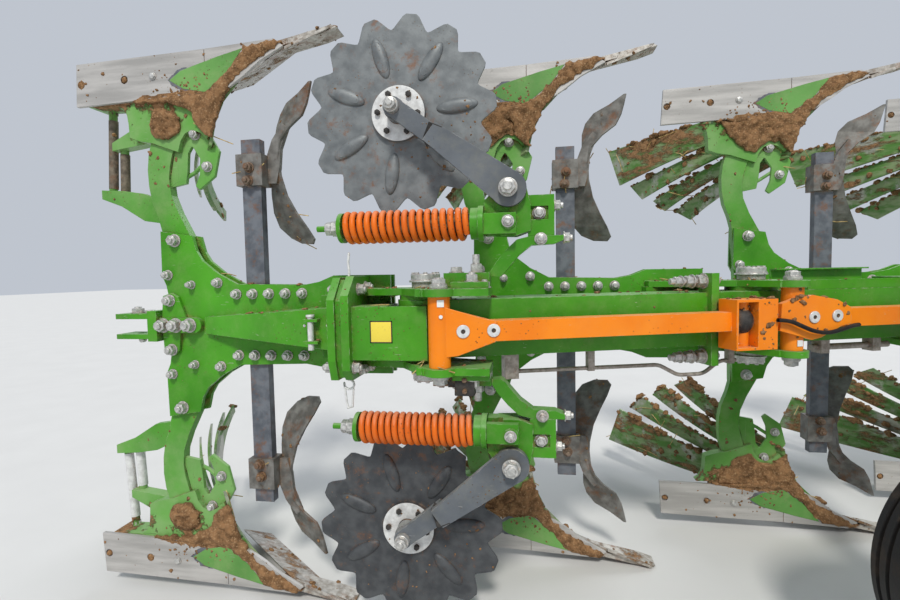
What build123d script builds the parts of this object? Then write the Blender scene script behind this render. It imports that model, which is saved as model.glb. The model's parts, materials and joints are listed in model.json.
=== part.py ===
"""Mounted four-furrow reversible mouldboard plough with adjustable furrow width.

Millimetres.  +X is the direction of travel, +Y the left-hand side of the plough and +Z up.
While it is built, the origin is the pivot of the rearmost furrow on the beam's centre line;
the written solids are moved so that the origin is the bottom centre of the whole machine.
Every furrow has an upper and a lower body, which mirror each other across the beam.
"""
from build123d import *
from math import atan2, cos, degrees, hypot, pi, radians, sin, sqrt, tan
import os

# ---- driving dimensions ------------------------------------------------------------------
furrows = 4                 # body pairs along the beam
spacing = 1050.0            # pitch of the furrow pivots along the beam
furrow_width = 330.0        # narrowest working width of one furrow
tip_depth = 909.0           # share points below and above the beam's centre plane
drawn_depth = 909.0         # the depth and pitch that the body outlines were drawn for
drawn_spacing = 1050.0
gap = 0.3                   # space between pieces that only rest on each other
run_fit = 0.05              # radial clearance of pins and shafts in their bores
run_clear = 6.0             # space beside pieces that move

beam_size = 160.0           # square beam tube
beam_wall = 10.0
beam_ahead = 105.0          # beam beyond the last furrow pivot
pivot_from_last = 464.0     # frame pivot behind the last furrow pivot
wear_ring = 13.0            # ring between the beam and each carrier plate
pivot_pin_r = 25.0
flange_behind = 202.0       # bolted flange on the beam, behind the second and third pivots
flange_t = 24.0
flange_half = 138.0
pivot_boss_r = 75.0
plate_t = 20.0              # carrier top and bottom plates
nut_h = 16.0

rod_pin_x = 61.0            # control rod pin from the furrow pivot
rod_pin_y = -127.0
rod_pin_r = 15.0
rod_boss_r = 29.0
rod_height = 54.0
rod_depth = 50.0
rod_wall = 6.0
pipe_r = 6.0
bar_r = 10.0

side_y = 65.0               # outer face of the near side plate
side_t = 12.0
side_front = -124.0
leg_t = 30.0
leg_clear = 0.5
bolt_r = 8.0
leg_bolt_x = -848.0
leg_bolt_z = 276.0

land_y = 56.0               # outer face of the landsides
land_t = 12.0
land_heel_x = -1169.0
land_outer_z = 860.0        # landside's outer edge at the heel
land_inner_z = 724.0
land_seam_x = -706.0
land_holes = ((-994, 798), (-1155, 794))
land_hole_r = 13.0
rib_t = 22.0
board_t = 9.0
share_t = 13.0
share_width = 365.0         # across the travel, from the land side to the wing
share_angle = 38.0          # share edge from the direction of travel
share_lap = 110.0           # depth of the share blade in plan
share_rise = 60.0
share_tip_x = -283.0
chisel_width = 62.0
chisel_t = 18.0
chisel_root = -529.0        # where the chisel starts behind the furrow's pivot
stay_r = 13.0

shank_x = -575.0
shank_width = 64.0
shank_end = 588.0
skimmer_t = 8.0

disc_r = 285.0
disc_t = 6.0
disc_y = 41.0
disc_x = -76.0
disc_z = 618.0
disc_teeth = 14
disc_phase = 16.9           # degrees, first notch above the travel direction
disc_bosses = 7
boss_circle = 172.0
boss_phase = 4.4            # degrees
boss_length = 104.0
boss_width = 36.0
boss_height = 9.0
hub_r = 80.0
arm_x = 242.0               # coulter arm's pivot on the knuckle
arm_y = -62.0
arm_z = 373.6
arm_t = 22.0
arm_end_r = 48.0
joggle_depth = 34.0         # step of the arm towards the disc
joggle_at = 0.66            # where the step is, as a share of the arm's length
spindle_boss_r = 30.0
spring_y = -45.0
spring_z = 285.6
spring_front = 140.0
spring_lengths = (360.0, 331.0)   # of the upper and the lower coulter as they are set
spring_r = 46.5
spring_wire = 14.0
spring_rod_r = 8.5

wheel_trail = 130.0         # depth wheel behind its swing pivot as it parks
wheel_y = -180.0
tyre_r = 355.0
tyre_width = 230.0
rim_r = 205.0
rim_width = 190.0
rim_wall = 6.0
wheel_pivot_past = 10.0     # swing pivot beyond one and a half furrows
wheel_arm_w = 90.0
wheel_arm_t = 60.0
spindle_r = 25.0

turn_inside = 74.0          # turnover axis inside the frame pivot
shaft_r = 70.0
bearing_ahead = 870.0       # turnover bearing ahead of the frame pivot
bearing_length = 280.0
head_plate_t = 25.0
head_half = 255.0
head_depth = 190.0
head_low = 500.0
head_high = 480.0
crank_r = 150.0
cylinder_top = 400.0        # turnover cylinder's upper pin above the turnover axis
cylinder_r = 48.0
cylinder_rod_r = 24.0
link_z = -470.0             # lower link pins
link_spread = 965.0
link_pin_r = 18.3
link_pin_length = 90.0
top_z = 330.0               # top link clevis
top_bore_r = 16.0
stand_offset = 320.0
stand_size = 60.0
stand_wall = 5.0

# ---- sizes worked out from them ----------------------------------------------------------
beam_angle = degrees(atan2(furrow_width, sqrt(spacing**2 - furrow_width**2)))
beam_c = cos(radians(beam_angle))
beam_s = sin(radians(beam_angle))
step_x = spacing * beam_c
step_y = spacing * beam_s
half_beam = beam_size / 2
plate_low = half_beam + wear_ring
plate_top = plate_low + plate_t
beam_end = spacing * (furrows - 1) + beam_ahead
pivot_along = spacing * (furrows - 1) - pivot_from_last
frame_pivot = (pivot_along * beam_c, pivot_along * beam_s)
bearing_rear = frame_pivot[0] + bearing_ahead
head_x = bearing_rear + bearing_length   # rear face of the headstock's cross plate
turn_y = frame_pivot[1] - turn_inside
stand_y = turn_y - stand_offset
wheel_pivot_x = 1.5 * spacing + wheel_pivot_past
wheel_x = wheel_pivot_x - wheel_trail
deeper = tip_depth / drawn_depth         # stretches the body outlines with the depth
reach = spacing / drawn_spacing          # moves what is fixed along the beam
far_y = side_y + side_t + leg_t + 2 * leg_clear
leg_y = side_y + side_t + leg_clear
floor_z = -tip_depth


# ---- helpers -----------------------------------------------------------------------------
def box(x0, x1, y0, y1, z0, z1):
    """A block between two corners."""
    return Pos((x0 + x1) / 2, (y0 + y1) / 2, (z0 + z1) / 2) * Box(x1 - x0, y1 - y0, z1 - z0)


def rod_x(r, x0, x1, y, z):
    """A round bar along X."""
    return Pos((x0 + x1) / 2, y, z) * Rot(0, 90, 0) * Cylinder(r, x1 - x0)


def rod_y(r, y0, y1, x, z):
    """A round bar along Y."""
    return Pos(x, (y0 + y1) / 2, z) * Rot(90, 0, 0) * Cylinder(r, y1 - y0)


def rod_z(r, z0, z1, x, y):
    """A round bar along Z."""
    return Pos(x, y, (z0 + z1) / 2) * Cylinder(r, z1 - z0)


def plate_xz(points, y0, y1):
    """A plate standing along the travel, outlined in X and Z."""
    face = Face(Wire.make_polygon([Vector(x, y0, z) for x, z in points]))
    return Solid.extrude(face, Vector(0, y1 - y0, 0))


def plate_xy(points, z0, z1):
    """A flat plate outlined in X and Y."""
    face = Face(Wire.make_polygon([Vector(x, y, z0) for x, y in points]))
    return Solid.extrude(face, Vector(0, 0, z1 - z0))


def plate_yz(points, x0, x1):
    """A plate across the travel, outlined in Y and Z."""
    face = Face(Wire.make_polygon([Vector(x0, y, z) for y, z in points]))
    return Solid.extrude(face, Vector(x1 - x0, 0, 0))


def rod_between(a, b, r):
    """A round bar between two points."""
    a, b = Vector(*a), Vector(*b)
    return Plane(origin=a, z_dir=b - a) * Cylinder(r, (b - a).length, align=(Align.CENTER, Align.CENTER, Align.MIN))


def flip(solid):
    """The same piece on the other side of the beam."""
    return mirror(solid, about=Plane.XY)


def both(*solids):
    """Upper pieces with their lower mirror images."""
    return list(solids) + [flip(s) for s in solids]


def along_beam(s, side=0.0):
    """A point on the beam, from its rear pivot, with an offset to the left."""
    return (s * beam_c - side * beam_s, s * beam_s + side * beam_c)


def on_beam(solid):
    """Turn a piece that was drawn along X into the beam's direction."""
    return Rot(0, 0, beam_angle) * solid


nodes = {}


def add(name, *solids):
    """Keep the solids of one node."""
    flat = []
    for s in solids:
        flat += s if isinstance(s, list) else [s]
    nodes.setdefault(name, []).extend(flat)


# ---- headstock ---------------------------------------------------------------------------
def headstock():
    """Bearing tube, cross plate, two cheeks, head beam and top link clevis, welded."""
    y0, y1 = turn_y - head_half, turn_y + head_half
    bore_r = shaft_r + run_fit
    bearing = rod_x(shaft_r + 45, bearing_rear, head_x + head_plate_t, turn_y, 0)
    cross = plate_yz([(y0, -head_low), (y1, -head_low), (y1, 180), (turn_y + 120, head_high),
                      (turn_y - 120, head_high), (y0, 180)], head_x, head_x + head_plate_t)
    front = head_x + head_plate_t + head_depth
    cheek = [(head_x + 5, -head_low), (front + 40, -head_low), (front + 40, link_z + 70),
             (front - 30, -150), (front - 60, 180), (head_x + 5, 180)]
    left = plate_xz(cheek, y0, y0 + 25)
    right = plate_xz(cheek, y1 - 25, y1)
    head = box(head_x + 5, front, turn_y - 120, turn_y + 120, head_high - 50, head_high)
    ear_x = front + 30
    mast = [(front - 35, head_high), (front, head_high), (ear_x + 20, top_z + 40), (ear_x + 25, top_z),
            (ear_x, top_z - 40), (front - 35, top_z - 40)]
    ears = [plate_xz(mast, turn_y + side * 45 - 12, turn_y + side * 45 + 12) for side in (-1, 1)]
    frame = bearing + cross + left + right + head + ears[0] + ears[1]
    for side in (-1, 1):
        gusset = [(bearing_rear + 40, side * (shaft_r + 30)), (head_x + 5, side * (shaft_r + 30)),
                  (head_x + 5, side * 330)]
        frame += plate_xz(gusset, turn_y - 12, turn_y + 12)
    frame -= rod_x(bore_r, bearing_rear - 1, head_x + head_plate_t + 1, turn_y, 0)
    frame -= rod_y(top_bore_r, turn_y - 100, turn_y + 100, ear_x - 20, top_z)
    frame -= rod_y(45 + gap, y0 - 1, y1 + 1, front - 10, link_z)
    add("headstock_frame", frame)

    half = link_spread / 2
    axle = rod_y(45, turn_y - half, turn_y + half, front - 10, link_z)
    for side in (-1, 1):
        low = turn_y + side * (half + link_pin_length / 2) - link_pin_length / 2
        axle += rod_y(link_pin_r, low - 1, low + link_pin_length + 1, front - 10, link_z)
    add("lower_link_axle", axle)

    sleeve_x = head_x + 90
    out = stand_size / 2 + gap + 8
    sleeve = box(sleeve_x - out, sleeve_x + out, stand_y - out, y0 - gap, -430, -150)
    inner = stand_size / 2 + gap
    sleeve -= box(sleeve_x - inner, sleeve_x + inner, stand_y - inner, stand_y + inner, -431, -149)
    add("stand_sleeve", sleeve)
    h = stand_size / 2
    leg = box(sleeve_x - h, sleeve_x + h, stand_y - h, stand_y + h, floor_z + 12, -60)
    leg -= box(sleeve_x - h + stand_wall, sleeve_x + h - stand_wall, stand_y - h + stand_wall,
               stand_y + h - stand_wall, floor_z + 12, -70)
    foot = box(sleeve_x - 90, sleeve_x + 90, stand_y - 90, stand_y + 90, floor_z, floor_z + 12)
    add("parking_stand", leg + foot)


def turnover():
    """Shaft with its crank, the cylinder that turns it, and the console that carries the beam."""
    crank_x = head_x + head_plate_t + run_clear
    shaft = rod_x(shaft_r, bearing_rear - 30 + gap, crank_x + 30, turn_y, 0)
    crank = box(crank_x, crank_x + 30, turn_y, turn_y + crank_r, -40, 40)
    crank += rod_x(40, crank_x, crank_x + 30, turn_y + crank_r, 0)
    add("turnover_shaft", shaft + crank)

    eye_x = crank_x + 30 + run_clear
    lean = atan2(crank_r, cylinder_top)
    length = hypot(crank_r, cylinder_top)
    top = Pos(0, turn_y, cylinder_top) * Rot(degrees(lean), 0, 0)
    body = Pos(eye_x + cylinder_r, 0, -200) * Cylinder(cylinder_r, 220)
    body += Pos(eye_x + cylinder_r, 0, -50) * Box(2 * cylinder_r, 50, 84)
    body += rod_x(24, eye_x, eye_x + 2 * cylinder_r, 0, 0)
    body -= rod_x(15 + gap / 2, eye_x - 1, eye_x + 2 * cylinder_r + 1, 0, 0)
    body -= Pos(eye_x + cylinder_r, 0, -205) * Cylinder(cylinder_rod_r + 0.5, 220)
    add("turnover_cylinder_barrel", top * body)
    rod = Pos(eye_x + cylinder_r, 0, -(length + 120) / 2) * Cylinder(cylinder_rod_r, length - 120 - 40)
    rod += rod_x(34, eye_x, eye_x + 2 * cylinder_r, 0, -length)
    add("turnover_cylinder_rod", top * rod)
    pin = rod_x(15, head_x + head_plate_t + gap, eye_x + 2 * cylinder_r + 20, turn_y, cylinder_top)
    add("turnover_cylinder_pin", pin)

    fx, fy = frame_pivot
    rear = bearing_rear - 30
    low = plate_low
    outline = [(fx - 40, fy - 85), (fx + 260, turn_y - 150), (rear - 60, turn_y - 150), (rear - 30, turn_y - 140),
               (rear - 30, turn_y + 140), (rear - 170, turn_y + 140), (rear - 260, turn_y + 15),
               (fx + 260, turn_y + 30), (fx + 40, fy + 86)]
    plate = plate_xy(outline, low, low + 25) + rod_z(95, low, low + 25, fx, fy)
    plate -= rod_z(30, low - 1, low + 26, fx, fy)
    qx, qy = fx + rod_pin_x, fy + rod_pin_y
    plate -= rod_z(rod_pin_r, low - 1, low + 26, qx, qy)
    web = box(rear - 200, rear - 30, turn_y - 130, turn_y + 110, -low - 10, low + 10)
    web -= box(rear - 201, rear - 45, turn_y - 115, turn_y + 95, -low, low)
    flange = box(rear - 30, rear, turn_y - 140, turn_y + 140, -low - 25, low + 25)
    add("turnover_console", plate + flip(plate) + web + flange)
    post = rod_z(30 - run_fit, -low - 40, low + 40, fx, fy)
    cap = rod_z(48, low + 25 + gap, low + 43, fx, fy)
    add("frame_pivot_pin", post + cap + flip(cap))


# ---- beam --------------------------------------------------------------------------------
def beam():
    """Hollow beam with a pivot tube at every furrow and at the frame pivot."""
    tube = box(0, beam_end, -half_beam, half_beam, -half_beam, half_beam)
    tube += rod_z(half_beam, -half_beam, half_beam, 0, 0)
    inner = half_beam - beam_wall
    tube -= box(half_beam + 10, beam_end - beam_wall, -inner, inner, -inner, inner)
    stations = [spacing * i for i in range(furrows)]
    for s in stations + [pivot_along]:
        r = 48 if s == pivot_along else 44
        tube += rod_z(r, -half_beam, half_beam, s, 0)
        tube += rod_z(pivot_boss_r, half_beam - 1, half_beam + wear_ring - gap, s, 0)
        tube += rod_z(pivot_boss_r, -half_beam - wear_ring + gap, -half_beam + 1, s, 0)
        hole = 30 if s == pivot_along else pivot_pin_r
        tube -= rod_z(hole, -plate_top, plate_top, s, 0)
    for s in stations[1:3]:
        x0, side = s - flange_behind - flange_t / 2, half_beam + 20
        flange = box(x0, x0 + flange_t, -side, -40, -flange_half, flange_half)
        tube += flange - box(x0 - 1, x0 + flange_t + 1, -half_beam + 5, 0, -half_beam + 5, half_beam - 5)
    add("beam", on_beam(tube))
    for s in stations:
        x, y = along_beam(s)
        pin = rod_z(pivot_pin_r - run_fit, -plate_top - 30, plate_top + 30, x, y)
        cap = rod_z(40, plate_top + gap, plate_top + nut_h, x, y)
        add("furrow_pivot_pins", pin + cap + flip(cap))


def hose_tray():
    """Folded channel on top of the beam that carries the hoses."""
    x0, x1 = spacing + 130, 2 * spacing - 560 * reach
    low = half_beam + gap
    tray = box(x0, x1, -half_beam, half_beam - 10, low, low + 5)
    tray += box(x0, x1, -half_beam, -half_beam + 5, low, low + 30)
    tray += box(x0, x1, half_beam - 15, half_beam - 10, low, low + 66)
    tray += box(x0, x1, half_beam - 40, half_beam - 10, low + 61, low + 66)
    add("hose_tray", on_beam(tray))


def hydraulic_pipe():
    """Steel pipe clipped below the beam, its rear block, and the locking rod in its two guides."""
    low = -half_beam - gap
    block = on_beam(box(215 * reach, 255 * reach, -65, -25, low - 72, low))
    bends = [(255, -54), (700, -57), (765, -92), (850, -92), (905, -54), (960, -54)]
    path = FilletPolyline([(s * reach, -45, low + z) for s, z in bends], radius=60)
    pipe = sweep(Plane(origin=path @ 0, z_dir=path % 0) * Circle(pipe_r), path=path)
    for s in (480, 940):
        pipe += box(s * reach - 10, s * reach + 10, -55, -35, low - 63, low)
    bar = rod_x(bar_r, 1215 * reach, 1500 * reach, -60, low - 24)
    for s in (1250, 1440):
        bar += box(s * reach - 15, s * reach + 15, -78, -42, low - 42, low)
    add("hydraulic_pipe", block + on_beam(pipe), on_beam(bar))


def depth_wheel():
    """Wheel bracket on the beam, swinging arm, and the wheel on its spindle."""
    s = wheel_pivot_x / beam_c
    px, py = wheel_pivot_x, wheel_pivot_x * tan(radians(beam_angle))
    low = plate_low
    near = 95.0
    outline = [(px - 100, py + 40), (px + 100, py + 40), (px + 90, near), (px - 90, near)]
    plate = plate_xy(outline, low, low + 20)
    pad = on_beam(box(s - 110, s + 110, -half_beam + 5, half_beam - 30, half_beam + gap, low + 1))
    web = box(px - 90, px + 90, near, near + 20, -low - 20, low + 20)
    tube = rod_y(60, near - 40, near + 60, px, 0)
    bracket = plate + flip(plate) + pad + flip(pad) + web + tube
    bracket -= rod_y(30, near - 41, near + 61, px, 0)
    add("wheel_bracket", bracket)

    wheel_z = floor_z + tyre_r
    a_y1 = near - 40 - run_clear
    a_y0 = a_y1 - wheel_arm_t
    angle = atan2(wheel_z, wheel_x - wheel_pivot_x)
    length = hypot(wheel_z, wheel_x - wheel_pivot_x)
    arm = box(0, length, a_y0, a_y1, -wheel_arm_w / 2, wheel_arm_w / 2)
    arm += rod_y(62, a_y0, a_y1, 0, 0) + rod_y(55, a_y0, a_y1, length, 0)
    arm = Pos(px, 0, 0) * Rot(0, -degrees(angle), 0) * arm
    arm += rod_y(30 - run_fit, a_y1 - 1, near + 75, px, 0)
    arm += rod_y(40, wheel_y + rim_width / 2 - 60, a_y0 + 1, wheel_x, wheel_z)
    arm += rod_y(spindle_r, wheel_y - 62, wheel_y + rim_width / 2 - 59, wheel_x, wheel_z)
    arm += rod_y(34, wheel_y - 76, wheel_y - 61, wheel_x, wheel_z)
    add("wheel_arm", arm)

    y0, y1 = wheel_y - rim_width / 2, wheel_y + rim_width / 2
    rim = rod_y(rim_r, y0, y1, wheel_x, wheel_z) - rod_y(rim_r - rim_wall, y0 - 1, y1 + 1, wheel_x, wheel_z)
    rim += rod_y(rim_r - 1, wheel_y - 30, wheel_y - 20, wheel_x, wheel_z)
    rim += rod_y(48, wheel_y - 55, wheel_y + 30, wheel_x, wheel_z)
    rim -= rod_y(spindle_r + run_fit, wheel_y - 56, wheel_y + 31, wheel_x, wheel_z)
    add("wheel_rim", rim)
    w = tyre_width / 2
    bead = rim_width / 2 - 4
    half = [(rim_r + gap, 0), (rim_r + gap, bead), (rim_r + 30, bead + 2), (rim_r + 75, w), (tyre_r - 45, w),
            (tyre_r - 6, w - 28), (tyre_r, 0)]
    ring = half + [(r, -y) for r, y in reversed(half[1:-1])]
    face = Face(Wire.make_polygon([Vector(r, y, 0) for r, y in ring]))
    tyre = Pos(wheel_x, wheel_y, wheel_z) * revolve(face, Axis.Y)
    add("wheel_tyre", tyre)


# ---- furrows -----------------------------------------------------------------------------
# outlines are (X, Z) from the furrow's pivot
side_outline = [(-906, 33), (-893, 62), (-881, 97), (-887, 130), (-901, 161), (-899, 308), (-785, 290), (-772, 240),
                (-752, 208), (-699, 166), (-633, 131), (-404, 125), (-353, 134), (-305, 153), (side_front, 152)]
leg_outline = [(-890, 70), (-903, 311), (-914, 355), (-933, 405), (-942, 456), (-944, 511), (-938, 560), (-926, 600),
               (-912, 640), (-790, 640), (-838, 596), (-851, 560), (-862, 520), (-868, 480), (-862, 425), (-840, 368),
               (-800, 291), (-770, 70)]
frog_outline = [(-1014, 711), (-1002, 690), (-998, 662), (-996, 617), (-960, 603), (-913, 594), (-868, 577),
                (-823, 561), (-812, 596), (-795, 618), (-770, 628), (-742, 618), (-720, 596), (-712, 606),
                (-704, 640), (-690, 680), (-672, 712), (-1030, 722)]
bracket_outline = [(-868, 452), (-868, 482), (-846, 560), (-790, 640), (-690, 640), (-640, 560), (-660, 480), (-716, 440),
                   (-735, 448), (-722, 478), (-700, 520), (-700, 560), (-730, 590), (-780, 590), (-800, 560),
                   (-805, 500), (-812, 462)]
shin = [(-696, 566), (-687, 612), (-674, 658), (-649, 704), (-614, 749), (-520, 823), (-417, 863)]

# front edges at the land side: upper and lower Z; tail corners: X, Y, Z of upper and lower edge; bow
slat_columns = ("front_outer", "front_inner", "tail_outer", "tail_inner", "bow")
slats = [
    (826.0, 783.0, (-1274, 705, 774), (-1227, 655, 589), 52.0),
    (772.0, 716.0, (-1170, 653, 579), (-1127, 601, 506), 48.0),
    (705.0, 648.0, (-1071, 607, 496), (-1030, 552, 438), 44.0),
    (637.0, 575.0, (-980, 551, 433), (-933, 476, 384), 40.0),
]

# the skimmer's sheet from its tip to its tail: (X, Y, Z) of the front and of the rear edge
skimmer_columns = ("front", "rear")
skimmer_rows = [
    ((-368, 84, 756), (-376, 86, 756)),
    ((-377, 84, 722), (-421, 105, 730)),
    ((-386, 84, 689), (-472, 125, 709)),
    ((-404, 86, 654), (-500, 136, 677)),
    ((-450, 92, 622), (-512, 132, 638)),
    ((-484, 98, 586), (-514, 120, 593)),
    ((-496, 102, 531), (-524, 120, 536)),
    ((-493, 106, 477), (-537, 130, 484)),
    ((-478, 114, 414), (-546, 146, 422)),
    ((-451, 126, 357), (-550, 164, 365)),
    ((-424, 142, 310), (-540, 182, 317)),
    ((-408, 158, 274), (-508, 198, 282)),
    ((-420, 170, 258), (-466, 190, 262)),
]

# one tooth of the disc: share of the pitch and of the disc's radius
tooth_columns = ("pitch", "radius")
tooth = [(0.0, 0.850), (0.07, 0.866), (0.30, 0.975), (0.38, 1.0), (0.62, 1.0), (0.70, 0.975), (0.93, 0.866)]


def deepen(points):
    """An outline stretched to the plough's depth."""
    return [(x, z * deeper) for x, z in points]


def shin_x(z):
    """Where the front edge of the body lies at a height."""
    for (x0, z0), (x1, z1) in zip(shin, shin[1:]):
        if z <= z1:
            return x0 + (x1 - x0) * (z - z0) / (z1 - z0)
    return shin[-1][0]


def strip(row, ahead=0.0, behind=0.0, wider=0.0):
    """One mouldboard slat, lofted through three sections, or the room that it needs."""
    s = dict(zip(slat_columns, row))
    up = Vector(0, 0, wider)
    front_y = land_y + land_t + gap
    a0 = Vector(shin_x(s["front_outer"]) - 6, front_y, s["front_outer"] * deeper) + up
    b0 = Vector(shin_x(s["front_inner"]) - 6, front_y, s["front_inner"] * deeper) - up
    a1 = Vector(s["tail_outer"][0], s["tail_outer"][1], s["tail_outer"][2] * deeper) + up
    b1 = Vector(s["tail_inner"][0], s["tail_inner"][1], s["tail_inner"][2] * deeper) - up
    sections = []
    for u in (0.0, 0.5, 1.0):
        a = a0 + (a1 - a0) * u
        b = b0 + (b1 - b0) * u
        run = (a1 - a0 + b1 - b0) * 0.5
        back = Vector(-run.Y, run.X, 0).normalized()
        if back.X > 0:
            back = back * -1
        bow = back * (4 * s["bow"] * u * (1 - u))
        a, b = a + bow, b + bow
        normal = run.cross(b - a).normalized()
        if normal.X > 0:
            normal = normal * -1
        front, back_side = normal * -ahead, normal * (board_t + behind)
        corners = [a + front, b + front, b + back_side, a + back_side]
        sections.append(Face(Wire.make_polygon(corners)))
    return Solid.make_loft([f.outer_wire() for f in sections])


def share_corners():
    """Tip, wing and the two upper corners of the share blade."""
    e = Vector(-cos(radians(share_angle)), sin(radians(share_angle)), 0)
    back = Vector(-e.Y, e.X, 0)
    tip = Vector(share_tip_x, land_y, tip_depth - 4)
    wing = tip + e * (share_width / e.Y)
    wing_up = wing + back * share_lap - Vector(0, 0, share_rise)
    tip_up = tip + e * ((share_lap * cos(radians(share_angle))) / e.Y) + back * share_lap - Vector(0, 0, share_rise)
    return tip, wing, wing_up, tip_up


def stays(behind_y):
    """Two stays behind the leg, from a bracket on the leg up to the frog, with their lugs."""
    far = behind_y + 2 * stay_r
    bracket = deepen([(-900, 335), (-900, 402), (-985, 440), (-1060, 452), (-1145, 458), (-1145, 428), (-1070, 400),
                      (-985, 348)])
    lugs = plate_xz(bracket, leg_y + leg_t - 6, behind_y + 4)
    lugs += plate_xz(deepen([(-1095, 588), (-1095, 614), (-1000, 660), (-960, 660), (-960, 604)]),
                     leg_y + leg_t - 6, far - 4)
    lugs += plate_xz(deepen([(-1142, 724), (-1142, 756), (-980, 770), (-980, 722)]), land_y + land_t + gap, far - 4)
    mid = behind_y + stay_r - 2
    for low, high in (((-1127, 440), (-1110, 728)), ((-1081, 415), (-1073, 600))):
        lugs += rod_between((low[0], mid, low[1] * deeper), (high[0], mid, high[1] * deeper), stay_r)
    return lugs


def plough_bodies(rearmost):
    """The pieces of one pair of plough bodies, about a furrow's pivot; the rearmost pair has stays."""
    inner = land_y + land_t + gap
    leg = plate_xz(deepen(leg_outline), leg_y, leg_y + leg_t)
    frog = plate_xz(deepen(frog_outline), inner, leg_y + leg_t)
    rib = plate_xz(deepen([(-980, 700), (-980, 840), (-560, 840), (-650, 700)]), inner, inner + rib_t)
    leg = leg + frog + rib + plate_xz(deepen(bracket_outline), leg_y + 8, leg_y + 20)
    if rearmost:
        leg += stays(leg_y + leg_t + 12)
    for row in slats:
        leg = leg - strip(row, ahead=90, behind=0.6, wider=7) - strip(row, ahead=0.8, behind=0.8)
    legs = both(max(leg.solids(), key=lambda piece: piece.volume))

    tip, wing, wing_up, tip_up = share_corners()
    land = plate_xz(deepen([(land_heel_x, land_outer_z), (land_heel_x - 8, land_inner_z), (land_seam_x, 735),
                            (-690, 731), (-624, 748), (-572, 780), (-520, 818), (-440, 856), (-470, 880),
                            (land_seam_x, 870)]), land_y, land_y + land_t)
    land -= box(land_seam_x - 1, land_seam_x + 1, land_y - 1, land_y + 2.5, 0, 2 * tip_depth)
    for x, z in land_holes:
        land -= rod_y(land_hole_r, land_y - 1, land_y + 5, x, z * deeper)
    keep_out = box(-2 * spacing, 0, -spacing, inner, 0, 2 * tip_depth)
    boards = [strip(row) - keep_out for row in slats]

    drop = Vector(-0.25, -0.32, -0.91) * share_t
    blade = Solid.extrude(Face(Wire.make_polygon([tip, wing, wing_up, tip_up])), drop)
    blade -= box(-2 * spacing, 0, -spacing, land_y, 0, 2 * tip_depth)
    blade -= box(-2 * spacing, -436, -spacing, inner, 0, 2 * tip_depth)
    top = tip_depth
    chisel = plate_xz([(share_tip_x + 12, top - 8), (share_tip_x - 6, top), (chisel_root, top - 43),
                       (chisel_root, top - 43 - chisel_t), (share_tip_x - 40, top - 6 - chisel_t)],
                      inner, inner + chisel_width)
    return {"legs": legs, "landsides": both(land), "mouldboards": both(*boards), "shares": both(blade + chisel)}


def skimmers():
    """Skimmer shank through the side plates with a small body at each end."""
    x0, x1 = shank_x - shank_width / 2, shank_x + shank_width / 2
    y0, y1 = leg_y, leg_y + leg_t
    shank = box(x0, x1, y0, y1, -shank_end, shank_end)
    clamp = box(x0 - 12, x1 + 12, y0 - 14, y1 + 14, 441, 540)
    clamp -= box(x0 - gap, x1 + gap, y0 - gap, y1 + gap, 440, 541)
    horn = plate_xz([(x1 + 8, 452), (x1 + 8, 538), (-515, 590), (-478, 640), (-460, 625), (-486, 560), (-492, 500),
                     (-505, 452)], y1 - 4, y1 + 12)
    sections = []
    for row in skimmer_rows:
        edge = dict(zip(skimmer_columns, row))
        front, rear = Vector(*edge["front"]), Vector(*edge["rear"])
        back = Vector(rear.Y - front.Y, front.X - rear.X, 0).normalized() * skimmer_t
        sections.append(Wire.make_polygon([front, rear, rear + back, front + back]))
    sheet = Solid.make_loft(sections, ruled=True)
    return {"skimmer_shank": [shank], "skimmers": both(clamp + horn + sheet)}


def carrier(rearmost):
    """Plates that clamp the legs, and the pivot plates above and below the beam."""
    side = plate_xz(side_outline + [(x, -z) for x, z in reversed(side_outline)], 0, side_t)
    near = Pos(0, side_y, 0) * side
    far = Pos(0, far_y, 0) * side
    x0, x1 = -300.0, side_front - 20
    spacer = box(x0, x1, side_y + side_t - 1, far_y + 1, -120, 120)
    top = plate_xy([(-310, 10), (-310, side_y + 1), (side_front - 6, side_y + 1), (0, pivot_boss_r),
                    (rod_pin_x + 30, rod_pin_y - 20), (rod_pin_x - 42, rod_pin_y - 20), (-60, -45)],
                   plate_low, plate_top)
    top += rod_z(pivot_boss_r, plate_low, plate_top, 0, 0)
    top += rod_z(rod_boss_r + 14, plate_low, plate_top, rod_pin_x, rod_pin_y)
    if rearmost:
        top += plate_xy([(0, -140), (192, -140), (192, -16), (0, 40)], plate_low, plate_top)
    top -= rod_z(pivot_pin_r, plate_low - 1, plate_top + 1, 0, 0)
    top -= rod_z(rod_pin_r, plate_low - 1, plate_top + 1, rod_pin_x, rod_pin_y)
    web = plate_xy([(-320, 0), (-320, side_y + 1), (-150, side_y + 1)], -plate_low - 1, plate_low + 1)
    frame = near + far + spacer + top + flip(top) + web
    if not rearmost:
        wedge = [(-715, side_y - 12), (-715, side_y + 1), (-319, side_y + 1), (-319, 8)]
        frame += plate_xy(wedge, -45, 45)
    else:
        frame += rear_box()
    for z in (leg_bolt_z, -leg_bolt_z):
        frame -= rod_y(bolt_r, side_y - 1, far_y + side_t + 1, leg_bolt_x, z)
    return {"carrier": [frame]}


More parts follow.
